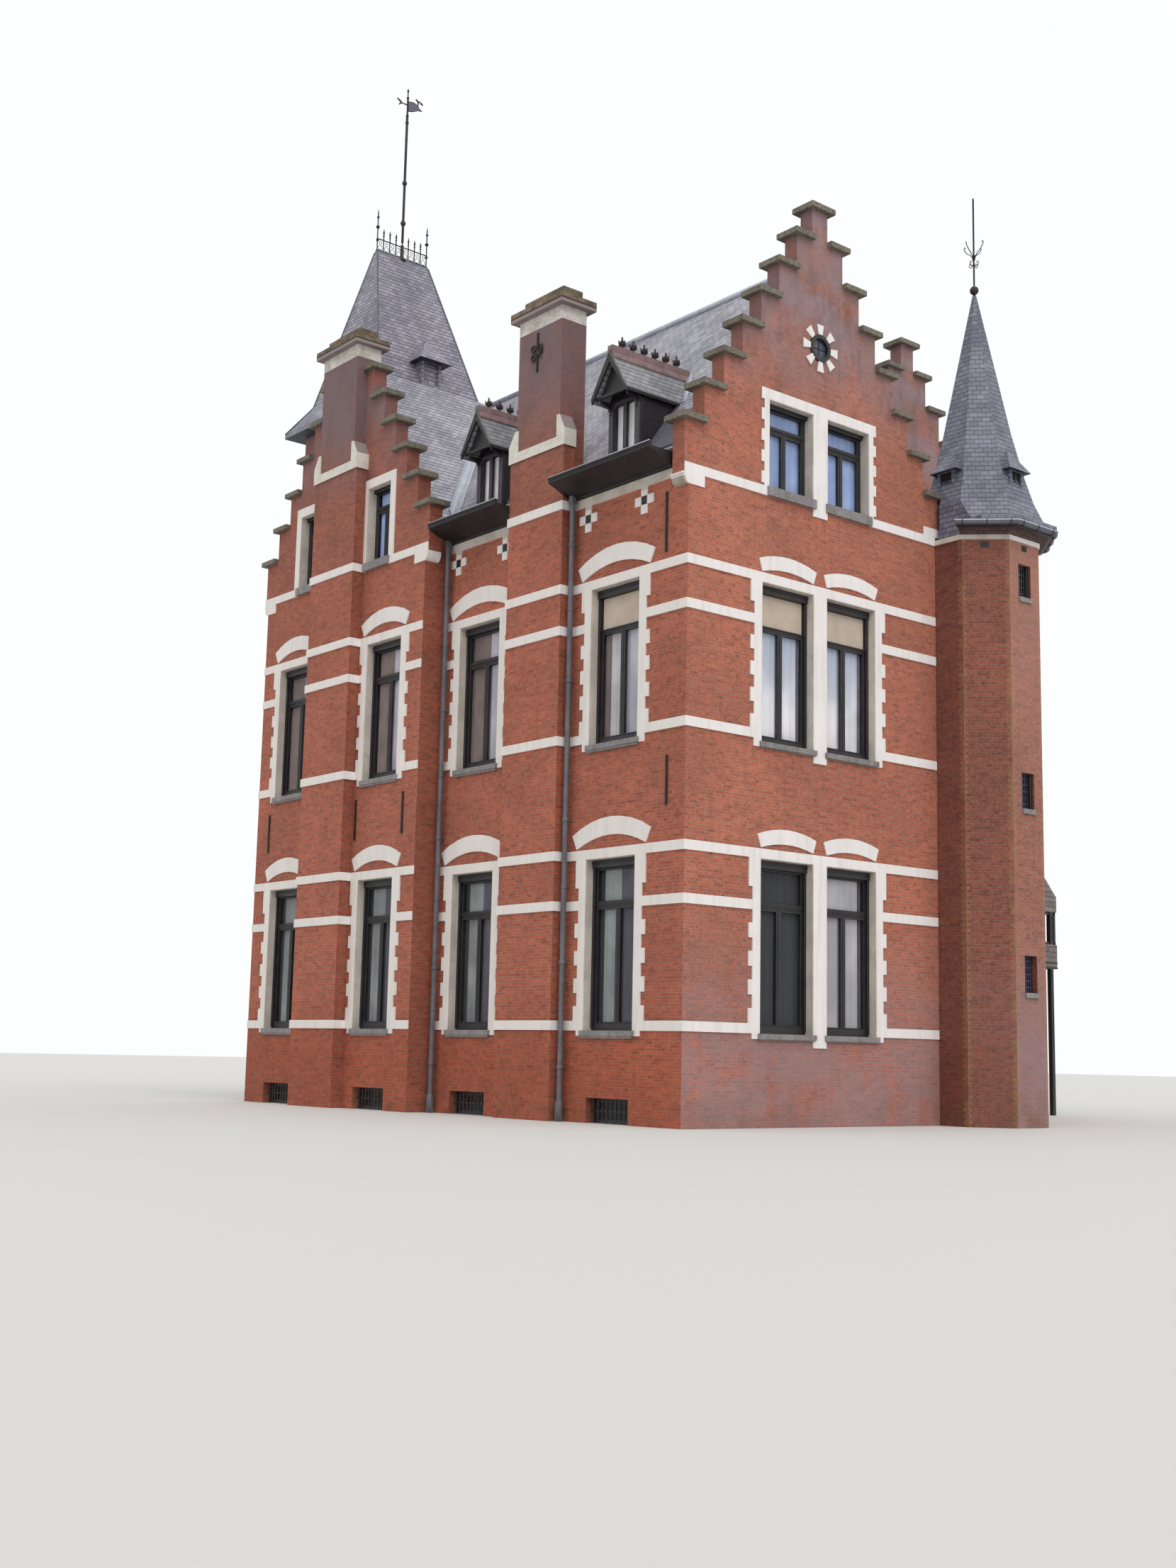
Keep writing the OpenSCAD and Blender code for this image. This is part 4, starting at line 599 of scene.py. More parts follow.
def joinery(pc, f, c, w, z0, z1, transom, blind=False, box=0.15):
    """A fixed light over the transom, two casements below, a shutter housing box m high on top."""
    u0, u1, v0, v1 = c - w / 2 + RING, c + w / 2 - RING, z0 + RING * 0.4, z1 - RING
    t = v0 + (v1 - v0) * transom
    rail, mullion = 0.03, 0.016
    d0, d1 = -REVEAL + 0.012, -REVEAL - 0.06
    pc.bar(f, u0, u1, t - rail, t + rail, d0, d1)
    pc.bar(f, u0, u1, t + 0.004, t + 0.026, d0 + 0.018, d0)
    pc.bar(f, c - mullion, c + mullion, v0, t - rail, d0, d1)
    for a, b in ((u0, c - mullion), (c + mullion, u1)):
        light(pc, f, a, b, v0, t - rail)
    if not blind:
        light(pc, f, u0, u1, t + rail, v1 + RING - box, 0.036)
    # guide rails of the shutter in front of the jambs
    if box > 0.1:
        for m in (-1, 1):
            a, b = sorted((c + m * (w / 2 - LINING), c + m * (w / 2 - 0.062)))
            pc.bar(f, a, b, z0 + 0.05, z1 - box, -REVEAL + 0.05, -REVEAL - 0.01)
    # the housing and its bead, then the bottom rail and its lip
    foot = z0 + box * 0.9
    for v0, v1, d0, d1 in (
        (z1 - box, z1 - LINING, 0.07, -0.02), (z1 - box / 2, z1 - box / 2 + 0.02, 0.085, 0.07),
        (z0, foot, 0.02, -0.02), (foot, foot + 0.016, 0.03, 0.0),
    ):
        pc.bar(f, c - w / 2 + LINING, c + w / 2 - LINING, v0, v1, -REVEAL + d0, -REVEAL + d1)


def lining(pc, f, c, w, z0, z1, out=0.022):
    """Thin stone faces on the jambs and the head of a window's reveal."""
    u0, u1 = c - w / 2, c + w / 2
    for a, b, v in ((u0, u0 + LINING, z0), (u1 - LINING, u1, z0), (u0 + LINING, u1 - LINING, z1 - LINING)):
        pc.bar(f, a, b, v, z1, out, -REVEAL + 0.001)


def cloth_piece(name, f, u0, u1, v0, v1, d, folds, amp, mat, seed=0.0):
    """A curtain in upright folds, its flat width measured along them, or a slightly bellied blind without folds."""
    nu, nv = max(folds * 10, 8), 10

    def depth(s, t):
        if not folds:
            return amp * sin(pi * s) * sin(pi * t)
        x = s * folds * tau
        return amp * (0.75 + 0.25 * t) * (sin(x + seed) + 0.3 * sin(2.1 * x + 1.3 * seed + t))

    verts, faces = [], []
    for j in range(nv + 1):
        t = j / nv
        for i in range(nu + 1):
            s = i / nu
            verts.append(f.at(u0 + (u1 - u0) * s, v1 + (v0 - v1) * t, d + depth(s, t)) + SHIFT)
    for j in range(nv):
        for i in range(nu):
            k = j * (nu + 1) + i
            faces.append((k, k + 1, k + nu + 2, k + nu + 1))
    me = bpy.data.meshes.new(name)
    me.from_pydata([tuple(v) for v in verts], [], faces)
    o = placed(name, me, mat, "building", True)
    return o


bars = Piece("casement_bars", FRAME, "frame_paint")
reveals = Piece("reveal_linings", BEIGE, "white_stone")
panes = Piece("oculus_panes", PANE, "glass")
for f, c, w, z0, z1 in TALL:
    joinery(bars, f, c, w, z0, z1, 0.745 if z0 == GROUND[0] else 0.75, lowered(f, c, z0))
    lining(reveals, f, c, w, z0, z1)
for f, c, w in SMALL:
    joinery(bars, f, c, w, *ATTIC, 0.74, False, 0.09)
    lining(reveals, f, c, w, *ATTIC, 0.02)
# basement grilles
for f, cs in ((LEFT, LEFT_WIN), (SIDE, SIDE_WIN)):
    for c in cs:
        for i in range(-4, 5):
            bars.bar(f, c + i * 0.115 - 0.009, c + i * 0.115 + 0.009, 0.0, 0.42, -0.10, -0.118)
        bars.bar(f, c - 0.55, c + 0.55, 0.2, 0.225, -0.118, -0.124)
# round eyes: dark rim, pane and glazing cross
EYE_Z, EYE_R, RIM_R, PANE_R = 13.98, 0.185, 0.262, 0.2
for f, c in ((FRONT, WING), (RIGHT, SIDE_MID)):
    arc = circle(24)
    for p, q in zip(arc, arc[1:]):
        rim = ((p, EYE_R), (p, RIM_R), (q, RIM_R), (q, EYE_R))
        bars.plate(f, [(c + x * r, EYE_Z + y * r) for (x, y), r in rim], 0.034, -0.03)
    panes.plate(f, [(c + x * PANE_R, EYE_Z + y * PANE_R) for x, y in arc[:-1]], -0.03, -0.036)
    for a, b in ((0.012, 0.19), (0.19, 0.012)):
        bars.bar(f, c - a, c + a, EYE_Z - b, EYE_Z + b, -0.018, -0.03)
bars.done(0.003)
panes.done()
reveals.done(0.002)

# top of the lower lights on the first floor, where the blinds end
z_t = FIRST[0] + 0.028 + (FIRST[1] - 0.07 - FIRST[0] - 0.028) * 0.75
for i, (f, c) in enumerate(BLINDS):
    o = cloth_piece(f"roller_blind_{i + 1}", f, c - 0.57, c + 0.57, z_t + 0.04, FIRST[1] - 0.155, -0.206, 0, 0.004,
        BLIND)
    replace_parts(o, "roller_blinds")
# drip stones under the sills of the street fronts
drips = Piece("sill_drips", BLUE, "blue_stone")
for f, c, w, z0, _ in TALL:
    if f in (FRONT, LEFT, SIDE):
        v, half = z0 - 0.088, w / 2 + 0.02
        drips.bar(f, c - half, c + half, v - (0.018 if f is FRONT else 0.042), v, 0.052, 0.0)
drips.done(0.002)

# what hangs behind each window: strips from u0 to u1 as shares of its width
FRONT_UP = ((0.0, 0.92, NET), (0.92, 1.0, NET_IN_SHADE))
FRONT_LOW = ((0.0, 0.90, NET), (0.90, 1.0, NET_IN_SHADE))
ROOM_SHADE = ((0.0, 1.0, NET_ROOM_SHADE),)
SIDE_LOW = ((0.0, 0.5, NET_IN_SHADE), (0.5, 0.9, NET_GREY), (0.9, 1.0, NET_ROOM_SHADE))
SIDE_UP = ((0.0, 0.5, NET_LILAC), (0.5, 1.0, NET_BROWN))
SIDE_BLIND = ((0.0, 0.5, NET_LILAC), (0.5, 0.84, NET_DULL), (0.84, 1.0, NET_BROWN))
# how far behind the wall the curtains hang, and past which the unseen ground floor rooms get dark cloth as painted
# shade
HANG, BODY_MIDDLE = -0.264, 7.0


def hangs(f, c, z0):
    """The strips of a window; dark cloth paints the shade of dark rooms, and unseen ground floor rooms to the right
    are dark too.
    """
    low = z0 == GROUND[0]
    if f is FRONT:
        return (ROOM_SHADE if c == FRONT_WIN[0] else FRONT_LOW) if low else FRONT_UP
    if f in (LEFT, SIDE):
        return SIDE_LOW if low else SIDE_BLIND if lowered(f, c, z0) else SIDE_UP
    return ROOM_SHADE if low and c > BODY_MIDDLE else FRONT_UP


n = 0
for f, c, w, z0, z1 in TALL:
    top = z_t if lowered(f, c, z0) else z1 - 0.1
    u0, wide = c - w / 2 + 0.09, w - 0.18
    for a, b, mat in hangs(f, c, z0):
        n += 1
        folds = max(1, round(7 * (b - a)))
        cloth_piece(f"net_curtain_{n}", f, u0 + wide * a, u0 + wide * b, z0 + 0.06, top, HANG, folds, 0.010, mat,
            0.7 * n)
for f, c, w in SMALL:
    n += 1
    half = w / 2 - 0.08
    cloth_piece(f"net_curtain_{n}", f, c - half, c + half, ATTIC[0] + 0.06, ATTIC[1] - 0.1, HANG, 5, 0.011, NET_BLUE,
        0.9 * n)

# ---------------------------------------------------------------- dormers
# the two dormers stand over the windows of the left wall
DORMERS = LEFT_WIN
# front of the hood, face of the walls, half width, eave and ridge; then the window
D_OUT, D_FACE, D_HALF, D_EAVE, D_RIDGE = -0.25, 0.13, 0.41, 12.8, 13.56
D_WIN, D_MULLION, D_Z0, D_Z1 = 0.30, 0.028, 11.66, 12.70
# rise of the wing's roof per metre, and its height over the street wall
SLOPE, FOOT = 4.354 / WING, 11.351
# where the valley beside the side gable leaves the street wall, and how far it runs back per metre of X
VALLEY_Y, VALLEY_RUN = 7.03, 0.967
# back of the front gable
GABLE_BACK = 0.304


def on_slope(z):
    return (z - FOOT) / SLOPE


def slope_sheet(z0, z1, y0, y1, lift, thick):
    """Dull zinc on the street slope of the wing's roof."""
    a, b = on_slope(z0), on_slope(z1)
    pts = [(a, y0, z0 + lift), (a, y1, z0 + lift), (b, y1, z1 + lift), (b, y0, z1 + lift)]
    dull.solid(pts, [(x - thick, y, z + thick) for x, y, z in pts])


dt = Piece("dormer_timber", BLACK_TIMBER, "timber")
posts = Piece("dormer_posts", POST, "timber")
knobs = Piece("crest_knobs", TERRA_DARK, "terracotta")
tiles = Piece("crest_tiles", TERRA, "terracotta")
lead = Piece("zinc_flashings", ZINC_LIGHT, "zinc")
dull = Piece("zinc_soakers", ZINC_DULL, "zinc")
verge = Piece("hood_verges", VERGE, "zinc")
X1 = on_slope(D_RIDGE)
KNOB = [(0.055, 0), (0.052, 0.016), (0.028, 0.04), (0.024, 0.09), (0.038, 0.12), (0.044, 0.145), (0.03, 0.18),
    (0.014, 0.20), (0.02, 0.225), (0.003, 0.26)]
for c in DORMERS:
    f = Facade(D_FACE, 0, ALONG_Y, LEFTWARD)
    hood = D_FACE - D_OUT
    for m in (-1, 1):
        # bargeboards under the front edge of the hood, with a smaller moulding on their face
        e = c + m * (D_HALF + 0.07)
        dt.plate(f, [(c, D_RIDGE - 0.02), (c, D_RIDGE - 0.22), (e, D_EAVE - 0.15), (e, D_EAVE - 0.05)],
            hood + 0.012, hood - 0.025)
        e += m * 0.01
        verge.plate(f, [(c, D_RIDGE), (c, D_RIDGE - 0.05), (e, D_EAVE - 0.08), (e, D_EAVE - 0.04)],
            hood + 0.02, hood - 0.01)
        # corner post with a capital, and the curved bracket that carries the hood
        u = c + m * 0.355
        posts.bar(f, u - 0.055, u + 0.06, D_Z0 - 0.1, D_EAVE - 0.06, 0.03, -0.055)
        u = c + m * 0.36
        dt.bar(f, u - 0.075, u + 0.07, D_EAVE - 0.16, D_EAVE - 0.09, 0.05, 0.0)
        dt.bar(f, u - 0.065, u + 0.065, D_EAVE - 0.21, D_EAVE - 0.18, 0.042, 0.0)
        arc = [(0.03, D_EAVE - 0.30)]
        for t in range(6):
            x, y = cos(t * pi / 10), sin(t * pi / 10)
            arc.append((0.03 + 0.24 * (1 - x), D_EAVE - 0.28 + 0.15 * y))
        arc += [(0.27, D_EAVE - 0.08), (0.03, D_EAVE - 0.08)]
        a = [f.at(c + m * 0.33, v, d) for d, v in arc]
        dt.solid(a, [v + f.u * 0.05 * m for v in a])
        # edge board of the cheek
        edge = ((0.0, D_Z0 - 0.08), (-0.09, D_Z0 + 0.04), (-0.09, D_EAVE - 0.13), (0.0, D_EAVE - 0.13))
        dt.solid([f.at(c + m * (D_HALF + 0.012), v, d) for d, v in edge],
            [f.at(c + m * D_HALF, v, d) for d, v in edge])
        # crest tiles lying over the top of the slates
        out = 0.115
        low = D_RIDGE - out * (D_RIDGE - D_EAVE + 0.06) / (D_HALF + 0.08)
        sec = [(c + m * 0.02, D_RIDGE + 0.02), (c + m * out, low + 0.008), (c + m * (out + 0.01), low + 0.03),
            (c + m * 0.02, D_RIDGE + 0.055)]
        tile = (X1 - D_OUT) / 5
        for k in range(5):
            x0 = D_OUT + k * tile
            tiles.solid([(x0, y, z) for y, z in sec], [(x0 + tile - 0.004, y, z) for y, z in sec])
    # tie beam and gable boards of the hood
    dt.bar(f, c - 0.45, c + 0.45, D_EAVE - 0.07, D_EAVE - 0.02, hood - 0.05, hood - 0.10)
    dt.plate(f, [(c - 0.40, D_EAVE - 0.04), (c + 0.40, D_EAVE - 0.04), (c, D_RIDGE - 0.15)], hood - 0.12, hood - 0.14)
    # window: head, mullion and the lights' own frames
    posts.bar(f, c - D_WIN, c + D_WIN, D_Z1 - 0.03, D_EAVE - 0.06, 0.012, -0.05)
    posts.bar(f, c - D_MULLION, c + D_MULLION, D_Z0, D_Z1, 0.004, -0.035)
    deep = Facade(D_FACE - REVEAL, 0, ALONG_Y, LEFTWARD)
    for u0, u1 in ((c - D_WIN, c - D_MULLION), (c + D_MULLION, c + D_WIN)):
        light(dt, deep, u0, u1, D_Z0, D_Z1, 0.02)
    arch = [(c + D_WIN * cos(t * pi / 8), D_Z1 - 0.13 + 0.11 * sin(t * pi / 8)) for t in range(9)]
    for (a0, b0), (a1, b1) in zip(arch, arch[1:]):
        dt.plate(f, [(a0, b0), (a0, D_Z1), (a1, D_Z1), (a1, b1)], 0.006, -0.03)
        posts.plate(f, [(a0, b0 + 0.02), (a0, b0 + 0.045), (a1, b1 + 0.045), (a1, b1 + 0.02)], 0.03, 0.006)
    cloth_piece(f"dormer_curtain_{int(c)}", f, c - 0.28, c + 0.28, D_Z0 + 0.04, D_Z1 - 0.04, -0.07, 4, 0.006,
        NET_TOP, c)
    # knobs along the crest, each with four leaves
    for i in range(6):
        x, base = 0.03 + 0.263 * i, D_RIDGE + 0.06
        knobs.lathe((x, c, base), KNOB, 8)
        for u, v in circle(4)[:-1]:
            leaf = ((0.02, 0.09), (0.066, 0.11), (0.082, 0.165))
            knobs.tube([(x + r * u, c + r * v, base + h) for r, h in leaf], [0.018, 0.022, 0.009], 5)
    # valley flashings beside the hood, and dull zinc up the foot of the cheeks
    for m in (-1, 1):
        a = Vector((on_slope(D_EAVE - 0.06), c + m * (D_HALF + 0.08), D_EAVE - 0.06))
        b = Vector((X1, c, D_RIDGE))
        out, up = Vector((0.0, m * 0.16, 0.0)), Vector((-0.014, 0.0, 0.012))
        lead.solid([a, a + out, b + out, b], [a + up, a + out + up, b + out + up, b + up])
        wide = 0.26 if m > 0 else 0.10
        slope_sheet(11.66, 12.66, c + m * D_HALF, c + m * (D_HALF + wide), 0.004, 0.012)
# zinc sheet on the slope between the near dormer and the gable, and along the gable's back
slope_sheet(11.56, 12.42, GABLE_BACK, 1.31, 0.004, 0.016)
for k in range(5):
    z0 = 12.45 + k * 0.62
    slope_sheet(z0, z0 + 0.60, GABLE_BACK, 0.42, 0.02, 0.012)


def valley(x):
    """A point of the crease where the wing meets the side gable's roof."""
    return Vector((x, VALLEY_Y + VALLEY_RUN * x, FOOT + x * SLOPE))


# zinc of the valley, on both slopes, with a roll over the crease
X0, X2 = 0.31, 2.6
side, up = Vector((0.0, 0.14, 0.0)), Vector((-0.010, -0.004, 0.016))
strip = [valley(X0) - side, valley(X0), valley(X2), valley(X2) - side]
lead.solid(strip, [v + up for v in strip])
side, up = Vector((0.20, 0.0, 0.0)), Vector((-0.004, -0.012, 0.018))
strip = [valley(X0), valley(X2), valley(X2) - side, valley(X0 + side.x) - side]
lead.solid(strip, [v + up for v in strip])
lead.tube([valley(0.34) + up, valley(2.58) + up], 0.022, 6)
dt.done(0.003)
verge.done(0.002)
posts.done(0.004)
dull.done(0.002)
tiles.done(0.004)
knobs.done(0, True)

# ---------------------------------------------------------------- gutters, pipes and ridges
gt = Piece("gutter_mouldings", GUTTER, "timber")
# height of a gutter's rim
GZ = 11.4


def gutter(x, y, u, n, length):
    f = Facade(x, y, u, n)
    lead.tube([f.at(0, GZ + 0.006, 0.592), f.at(length, GZ + 0.006, 0.592)], 0.016, 8)
    for lo, hi, out, back in ((0.034, 0.004, 0.622, 0.6), (0.060, 0.038, 0.612, 0.6), (0.102, 0.082, 0.610, 0.6),
            (0.330, 0.295, 0.085, 0.0)):
        gt.bar(f, 0, length, GZ - lo, GZ - hi, out, back)


gutter(0, 0.35, ALONG_Y, LEFTWARD, 2.73)
gutter(0, 4.69, ALONG_Y, LEFTWARD, 2.21)
gutter(6.41, 1.36, ALONG_Y, ALONG_X, 1.49)
gutter(RIGHT_X, 3.45, ALONG_Y, ALONG_X, 3.13)
gutter(3.53, BACK_Y, ALONG_X, ALONG_Y, 8.42)
gt.done(0.003)
# mouldings and curved block under the overhang of the front gable, seen on the side face; the block is painted in
# shade
corb = Piece("foot_mouldings", WHITE, "white_stone")
block = Piece("foot_corbel", SHADED_CORBEL, "white_stone")
prof = [(0.0, BAND - 0.205)]
for t in range(7):
    x, y = sin(t * pi / 12), cos(t * pi / 12)
    prof.append((OVER * x + 0.006, BAND - 0.075 - 0.128 * y))
prof += [(OVER + 0.006, BAND - 0.07), (0.0, BAND - 0.07)]
block.solid([(-d, 0.004, z) for d, z in prof], [(-d, 0.306, z) for d, z in prof])
for z0, z1, d in ((0.036, 0.0, 0.026), (0.075, 0.046, 0.014)):
    a, b = BAND - z0, BAND - z1
    ring = ((0.0, a), (-OVER - d, a), (-OVER - d, b), (0.0, b))
    corb.solid([(x, 0.002, z) for x, z in ring], [(x, 0.318, z) for x, z in ring])
corb.done(0.003)
block.done(0.002)
# collars at the joints, thinner bands between them and a shoe at the foot of each downpipe
PIPE_X, PIPE_R = -0.13, 0.052
pipes = Piece("pipe_collars", PIPE, "zinc")
for y in (2.95, 6.85):
    for z in (0.9, 2.7, 5.2, 7.7, 10.2):
        pipes.lathe((PIPE_X, y, z - 0.02), [(PIPE_R, 0), (0.062, 0.004), (0.062, 0.07), (PIPE_R, 0.074)], 12)
    for z in (0.35, 1.9, 4.0, 6.4, 9.0):
        pipes.lathe((PIPE_X, y, z), [(PIPE_R, 0), (0.057, 0.004), (0.057, 0.03), (PIPE_R, 0.036)], 12)
    pipes.lathe((PIPE_X, y, 0.0), [(0.075, 0), (0.075, 0.3), (0.06, 0.34), (PIPE_R, 0.36)], 12)
pipes.done(0, True)

# ridge rolls in zinc, hips of the tower
RZ = 15.735
for (x0, y0), (x1, y1) in (
    ((WING, 0.31), (WING, 10.1)), ((3.2, SIDE_MID), (12.08, SIDE_MID)),
    ((-0.2, SIDE_MID), (0.19, SIDE_MID)), ((COURT_MID, 3.32), (COURT_MID, 10.1)),
):
    lead.tube([(x0, y0, RZ), (x1, y1, RZ)], 0.058, 8)
hips = Piece("tower_hips", ZINC_DULL, "zinc")
for sx in (-1, 1):
    for sy in (-1, 1):
        line = ((1.815, 1.815, 15.11), (1.365, 1.365, 15.75), (0.70, 0.06, TZ))
        hips.tube([(TX + sx * x, TY + sy * y, z) for x, y, z in line], 0.02, 6)
hips.tube([(TX - 0.7, TY, TZ + 0.012), (TX + 0.7, TY, TZ + 0.012)], 0.05, 8)
hips.done(0, True)
lead.done(0, True)

# ---------------------------------------------------------------- turret
# sides of the octagon that are free of the house
FREE = (0, 4, 5, 6, 7)
ring = Piece("turret_gutter", ZINC_DULL, "zinc")
rim = Piece("turret_gutter_rim", ZINC_LIGHT, "zinc")
soff = Piece("turret_straps", GUTTER, "timber")
course = Piece("turret_corbel_courses", brick("brick_shaded", *SHADE), "brick")


def octagon(r):
    """Corners of an octagon round the turret's axis, r from it to its sides."""
    r /= cos(pi / 8)
    turns = [radians(22.5 + 45 * k) for k in range(9)]
    return [(CX + r * cos(a), CY + r * sin(a)) for a in turns]


def hoop(pc, prof):
    """Sweeps (radius, height) points along the turret's free sides."""
    for k in FREE:
        pc.solid(*([(*octagon(r)[j], h) for r, h in prof] for j in (k, k + 1)))


hoop(ring, [(1.36, 11.180), (1.432, 11.180), (1.438, 11.16), (1.432, 11.13), (1.415, 11.11), (1.39, 11.10),
    (1.365, 11.105), (1.35, 11.12), (1.345, 11.15)])
hoop(rim, [(1.428, 11.168), (1.448, 11.168), (1.448, 11.190), (1.428, 11.190)])
hoop(soff, [(1.27, 11.085), (1.28, 11.075), (1.33, 11.085), (1.35, 11.10), (1.35, 11.14), (1.27, 11.13)])
hoop(course, [(1.085, 10.985), (1.13, 10.985), (1.13, 11.018), (1.175, 11.018), (1.175, 11.045), (1.225, 11.045),
    (1.225, 11.07), (1.275, 11.07), (1.275, 11.12), (1.085, 11.03)])
STRAP = ((1.40, 11.198), (1.448, 11.196), (1.448, 11.15), (1.436, 11.11), (1.40, 11.088), (1.35, 11.09))
for k in FREE:
    for t in (0.12, 0.5, 0.88):
        pts = []
        for r, h in STRAP:
            (x0, y0), (x1, y1) = octagon(r)[k:k + 2]
            pts.append((x0 + (x1 - x0) * t, y0 + (y1 - y0) * t, h))
        soff.tube(pts, 0.008, 6)
for pc in (ring, rim, soff, course):
    pc.done()
tf = Piece("turret_windows", FRAME, "frame_paint")
lattice = Piece("turret_lattice", LATTICE, "frame_paint")
TF = Facade(CX, CY - TR, ALONG_X, FRONTWARD)
for z0, z1 in ((2.42, 3.10), (5.81, 6.49), (9.84, 10.48)):
    tf.bar(TF, -0.012, 0.012, z0 + 0.045, z1 - 0.045, -0.112, -0.135)
    for k in range(5):
        z = z0 + 0.10 + 0.12 * k
        lattice.bar(TF, -0.15, 0.15, z, z + 0.012, -0.100, -0.112)
    for u in (-0.10, -0.035, 0.035, 0.10):
        lattice.bar(TF, u - 0.007, u + 0.007, z0 + 0.02, z1 - 0.02, -0.094, -0.104)
    if z0 > 3:
        for u0, u1 in ((0.115, 0.182), (-0.182, -0.15)):
            tf.bar(TF, u0, u1, z0 + 0.005, z1 - 0.005, -0.045, -0.13)
# vents under the eave
for k in FREE:
    ang = radians(45 * (k + 1))
    n = Vector((cos(ang), sin(ang), 0))
    fa = Facade(CX + n.x * TR, CY + n.y * TR, (-n.y, n.x, 0), n)
    tf.bar(fa, -0.08, 0.08, 10.74, 10.85, 0.006, -0.01)
    for i in range(-1, 2):
        tf.bar(fa, i * 0.04 - 0.008, i * 0.04 + 0.008, 10.745, 10.845, 0.014, 0.006)
# lucarnes of the spire
for fa in (Facade(CX, CY - 0.95, ALONG_X, FRONTWARD), Facade(CX - 0.95, CY, ALONG_Y, LEFTWARD)):
    tf.bar(fa, -0.14, 0.14, 11.98, 12.34, -0.05, -0.065)
    for u in (-0.14, -0.012, 0.115):
        tf.bar(fa, u, u + 0.025, 11.98, 12.34, -0.03, -0.05)
    tf.bar(fa, -0.14, 0.14, 12.14, 12.16, -0.03, -0.05)
    tf.bar(fa, -0.23, 0.23, 11.89, 11.93, 0.03, -0.02)
# black frame of the oriel's windows, and two mouldings below it
OR = Facade(0, 3.4, ALONG_X, FRONTWARD)
for u0, u1, v0, v1 in ((13.93, 14.78, 4.53, 4.60), (13.93, 14.78, 3.85, 3.91), (13.93, 14.0, 3.85, 4.6),
        (14.71, 14.78, 3.85, 4.6), (14.27, 14.33, 3.85, 4.6)):
    tf.bar(OR, u0, u1, v0, v1, -0.02, -0.06)
for v, out in ((3.42, 0.012), (3.30, 0.014)):
    tf.bar(OR, 13.9, 14.8, v, v + 0.03, out, 0.0)
tf.done(0.002)
lattice.done()

# ---------------------------------------------------------------- tower top and vane
ir = Piece("tower_ironwork", IRON, "iron")
for i in range(-4, 5):
    x = TX + i * 0.17
    if abs(i) < 4:
        ir.lathe((x, TY, TZ + 0.42), [(0.010, 0), (0.024, 0.03), (0.012, 0.06), (0.026, 0.10), (0.004, 0.20)], 6)
    if i < 4:
        # scrolls between the uprights
        for z, r in ((TZ + 0.14, 0.055), (TZ + 0.26, 0.035)):
            ir.tube([(x + 0.085 + r * u, TY, z + r * v) for u, v in circle(12)], 0.006, 5)
for x in (TX - 0.68, TX + 0.68):
    for h, r in ((0.30, 0.035), (0.62, 0.045), (0.86, 0.032)):
        ir.lathe((x, TY, TZ + h - r), [(0.012, 0), (r, r * 0.7), (r, r * 1.3), (0.012, 2 * r)], 8)
    ir.lathe((x, TY, TZ + 0.94), [(0.018, 0), (0.012, 0.05), (0.002, 0.13)], 6)
# balls, foot and tip of the mast
for h, r in ((20.23, 0.065), (21.23, 0.06), (22.30, 0.035), (22.75, 0.045)):
    ir.lathe((TX, TY, h - r), [(0.032, 0), (r * 0.8, r * 0.4), (r, r), (r * 0.8, r * 1.6), (0.032, 2 * r)], 12)
ir.lathe((TX, TY, TZ - 0.02), [(0.10, 0), (0.085, 0.05), (0.045, 0.12), (0.036, 0.40)], 12)
ir.lathe((TX, TY, 23.53), [(0.016, 0), (0.03, 0.02), (0.02, 0.05), (0.003, 0.07)], 8)
# ball, collar and scroll arms of the turret's rod
ir.lathe((CX, CY, 16.08), [(0.045, 0), (0.04, 0.05), (0.03, 0.1), (0.036, 0.14), (0.022, 0.18)], 12)
ir.lathe((CX, CY, 17.05), [(0.018, 0), (0.034, 0.02), (0.018, 0.05)], 8)
ARM = ((0.02, 16.98), (0.04, 17.06), (0.09, 17.12), (0.16, 17.17), (0.22, 17.24), (0.24, 17.30), (0.22, 17.33),
    (0.20, 17.30))
CURL = ((0.02, 16.88), (0.08, 16.84), (0.12, 16.88), (0.10, 16.94), (0.06, 16.92))
for u, v in circle(4)[:-1]:
    for line, thick in ((ARM, 0.009), (CURL, 0.008)):
        ir.tube([(CX + u * r, CY + v * r, z) for r, z in line], thick, 6)
# scrolls of the anchor on the side chimney
ANCHOR_X = -0.29
for y, z in ((4.03, 14.22), (4.03, 14.04), (3.84, 14.20)):
    ir.tube([(ANCHOR_X, y + 0.062 * u, z + 0.062 * v) for u, v in circle(12)], 0.017, 6)
ir.tube([(ANCHOR_X, 3.93, 14.10), (ANCHOR_X, 3.84, 14.06), (ANCHOR_X, 3.80, 13.98)], [0.02, 0.016, 0.008], 6)
ir.done(0, True)

vane = Piece("vane_figure", IRON, "iron", "vane")
VF = Facade(TX, TY, ALONG_X, FRONTWARD)
vane.lathe((TX, TY, 22.9003), [(0.03, 0), (0.036, 0.02), (0.03, 0.05), (0.022, 0.08), (0.022, 0.44), (0.03, 0.46),
    (0.03, 0.4995)], 12)
flag = [(0.02, 23.05), (0.15, 23.09), (0.29, 23.17), (0.41, 23.185), (0.32, 23.235), (0.285, 23.29), (0.24, 23.31),
    (0.15, 23.325), (0.02, 23.30)]
banner = Piece("vane_banner", BANNER, "iron", "vane")
banner.plate(VF, flag, 0.006, -0.006)
banner.done(0.001)
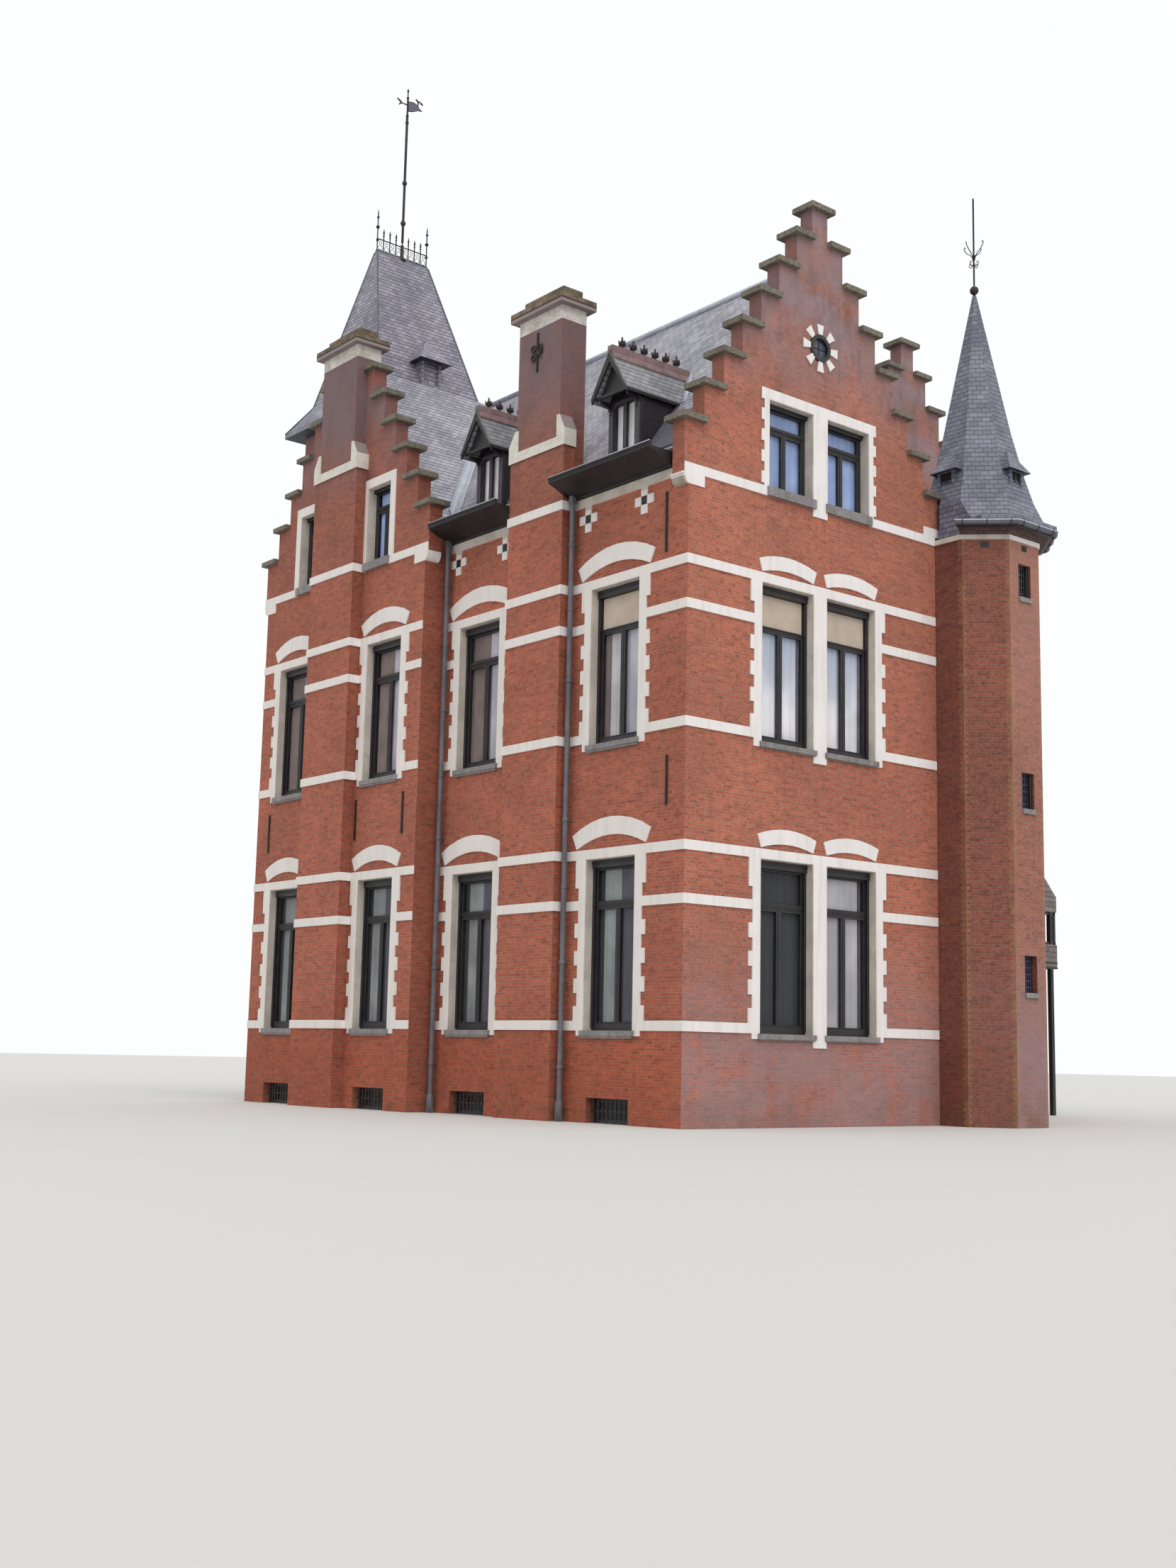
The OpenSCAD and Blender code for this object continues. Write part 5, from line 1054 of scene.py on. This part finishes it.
# edge of the banner, the two curls on its tip, and the forked tail
for line, thick in (
    (flag + flag[:1], 0.010),
    ([(0.28, 23.28), (0.30, 23.35), (0.27, 23.40), (0.22, 23.44)], [0.014, 0.018, 0.022, 0.012]),
    ([(0.27, 23.40), (0.34, 23.40), (0.39, 23.37), (0.43, 23.345)], [0.014, 0.014, 0.026, 0.006]),
    ([(-0.02, 23.20), (-0.17, 23.20)], [0.016, 0.012]),
    ([(-0.15, 23.20), (-0.22, 23.235), (-0.30, 23.275)], [0.012, 0.024, 0.014]),
    ([(-0.15, 23.20), (-0.21, 23.175), (-0.24, 23.13)], [0.012, 0.020, 0.012]),
):
    vane.tube([VF.at(u, v, 0) for u, v in line], thick, 6)
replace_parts(vane.done(0.0015), "weather_vane")


# ---------------------------------------------------------------- camera, floor and light
# solved from the photograph: place, view direction, level direction, roll, and focal length in its pixels
CAM = Vector((-26.331, -27.216, 1.159))
FORWARD = Vector((0.6277, 0.7637, 0.1511)).normalized()
LEVEL = Vector((0.77254, -0.63497, 0.0)).normalized()
ROLL = radians(1.214)
FOCAL_PX, PHOTO_H = 2488.9, 2212
SENSOR = 24.0
rise = LEVEL.cross(FORWARD)
right = LEVEL * cos(ROLL) + rise * sin(ROLL)
up = rise * cos(ROLL) - LEVEL * sin(ROLL)
cam = bpy.data.cameras.new("camera")
cam.sensor_fit = "VERTICAL"
cam.sensor_height = SENSOR
cam.lens = SENSOR * FOCAL_PX / PHOTO_H
cam.clip_end = 400
cam_obj = bpy.data.objects.new("camera", cam)
link(cam_obj)
m = Matrix((right, up, -FORWARD)).transposed().to_4x4()
m.translation = CAM
cam_obj.matrix_world = m
bpy.context.scene.camera = cam_obj

# the floor shows as plain pale light in reflections and through glass
pale = Shader("floor", 0.9)
rays = pale.add("LightPath").outputs
seen = pale.most(rays["Is Glossy Ray"], rays["Is Transmission Ray"])
em = pale.add("Emission", {"Color": (0.82, 0.82, 0.82, 1), "Strength": 1.0})
both = pale.add("MixShader", {0: seen, 1: pale.bsdf.outputs[0], 2: em.outputs[0]})
out = next(n for n in pale.t.nodes if n.type == "OUTPUT_MATERIAL")
pale.put(out.inputs[0], both.outputs[0])
HALF, DEPTH = 150, -0.002
me = bpy.data.meshes.new("floor")
me.from_pydata([(x, y, DEPTH) for x, y in ((-HALF, -HALF), (HALF, -HALF), (HALF, HALF), (-HALF, HALF))], [],
    [(0, 1, 2, 3)])
me.materials.append(pale.finish((214, 213, 210)))
floor = bpy.data.objects.new("floor", me)
link(floor)

sun = bpy.data.lights.new("soft_sun", "SUN")
sun.energy = 1.15
sun.angle = radians(50)
sun.color = (1.0, 0.98, 0.95)
sun_obj = bpy.data.objects.new("soft_sun", sun)
sun_obj.rotation_euler = Vector((0.35, 0.75, -1.0)).to_track_quat("-Z", "Y").to_euler()
link(sun_obj)

# the world lights at 0.8 and is white where it is seen
world = bpy.data.worlds.new("studio")
bpy.context.scene.world = world
world.use_nodes = True
sky = Shader.over(world, "Background")
rays = sky.add("LightPath").outputs
seen = sky.most(sky.most(rays["Is Camera Ray"], rays["Is Glossy Ray"]), rays["Is Transmission Ray"])
level = sky.add("MapRange", {"Value": seen, "To Min": 0.8, "To Max": 1.0})
sky.put(sky.bsdf.inputs["Strength"], level.outputs[0])
sky.put(sky.bsdf.inputs["Color"], (0.98, 0.99, 1.0, 1))
bpy.context.scene.view_settings.view_transform = "Standard"
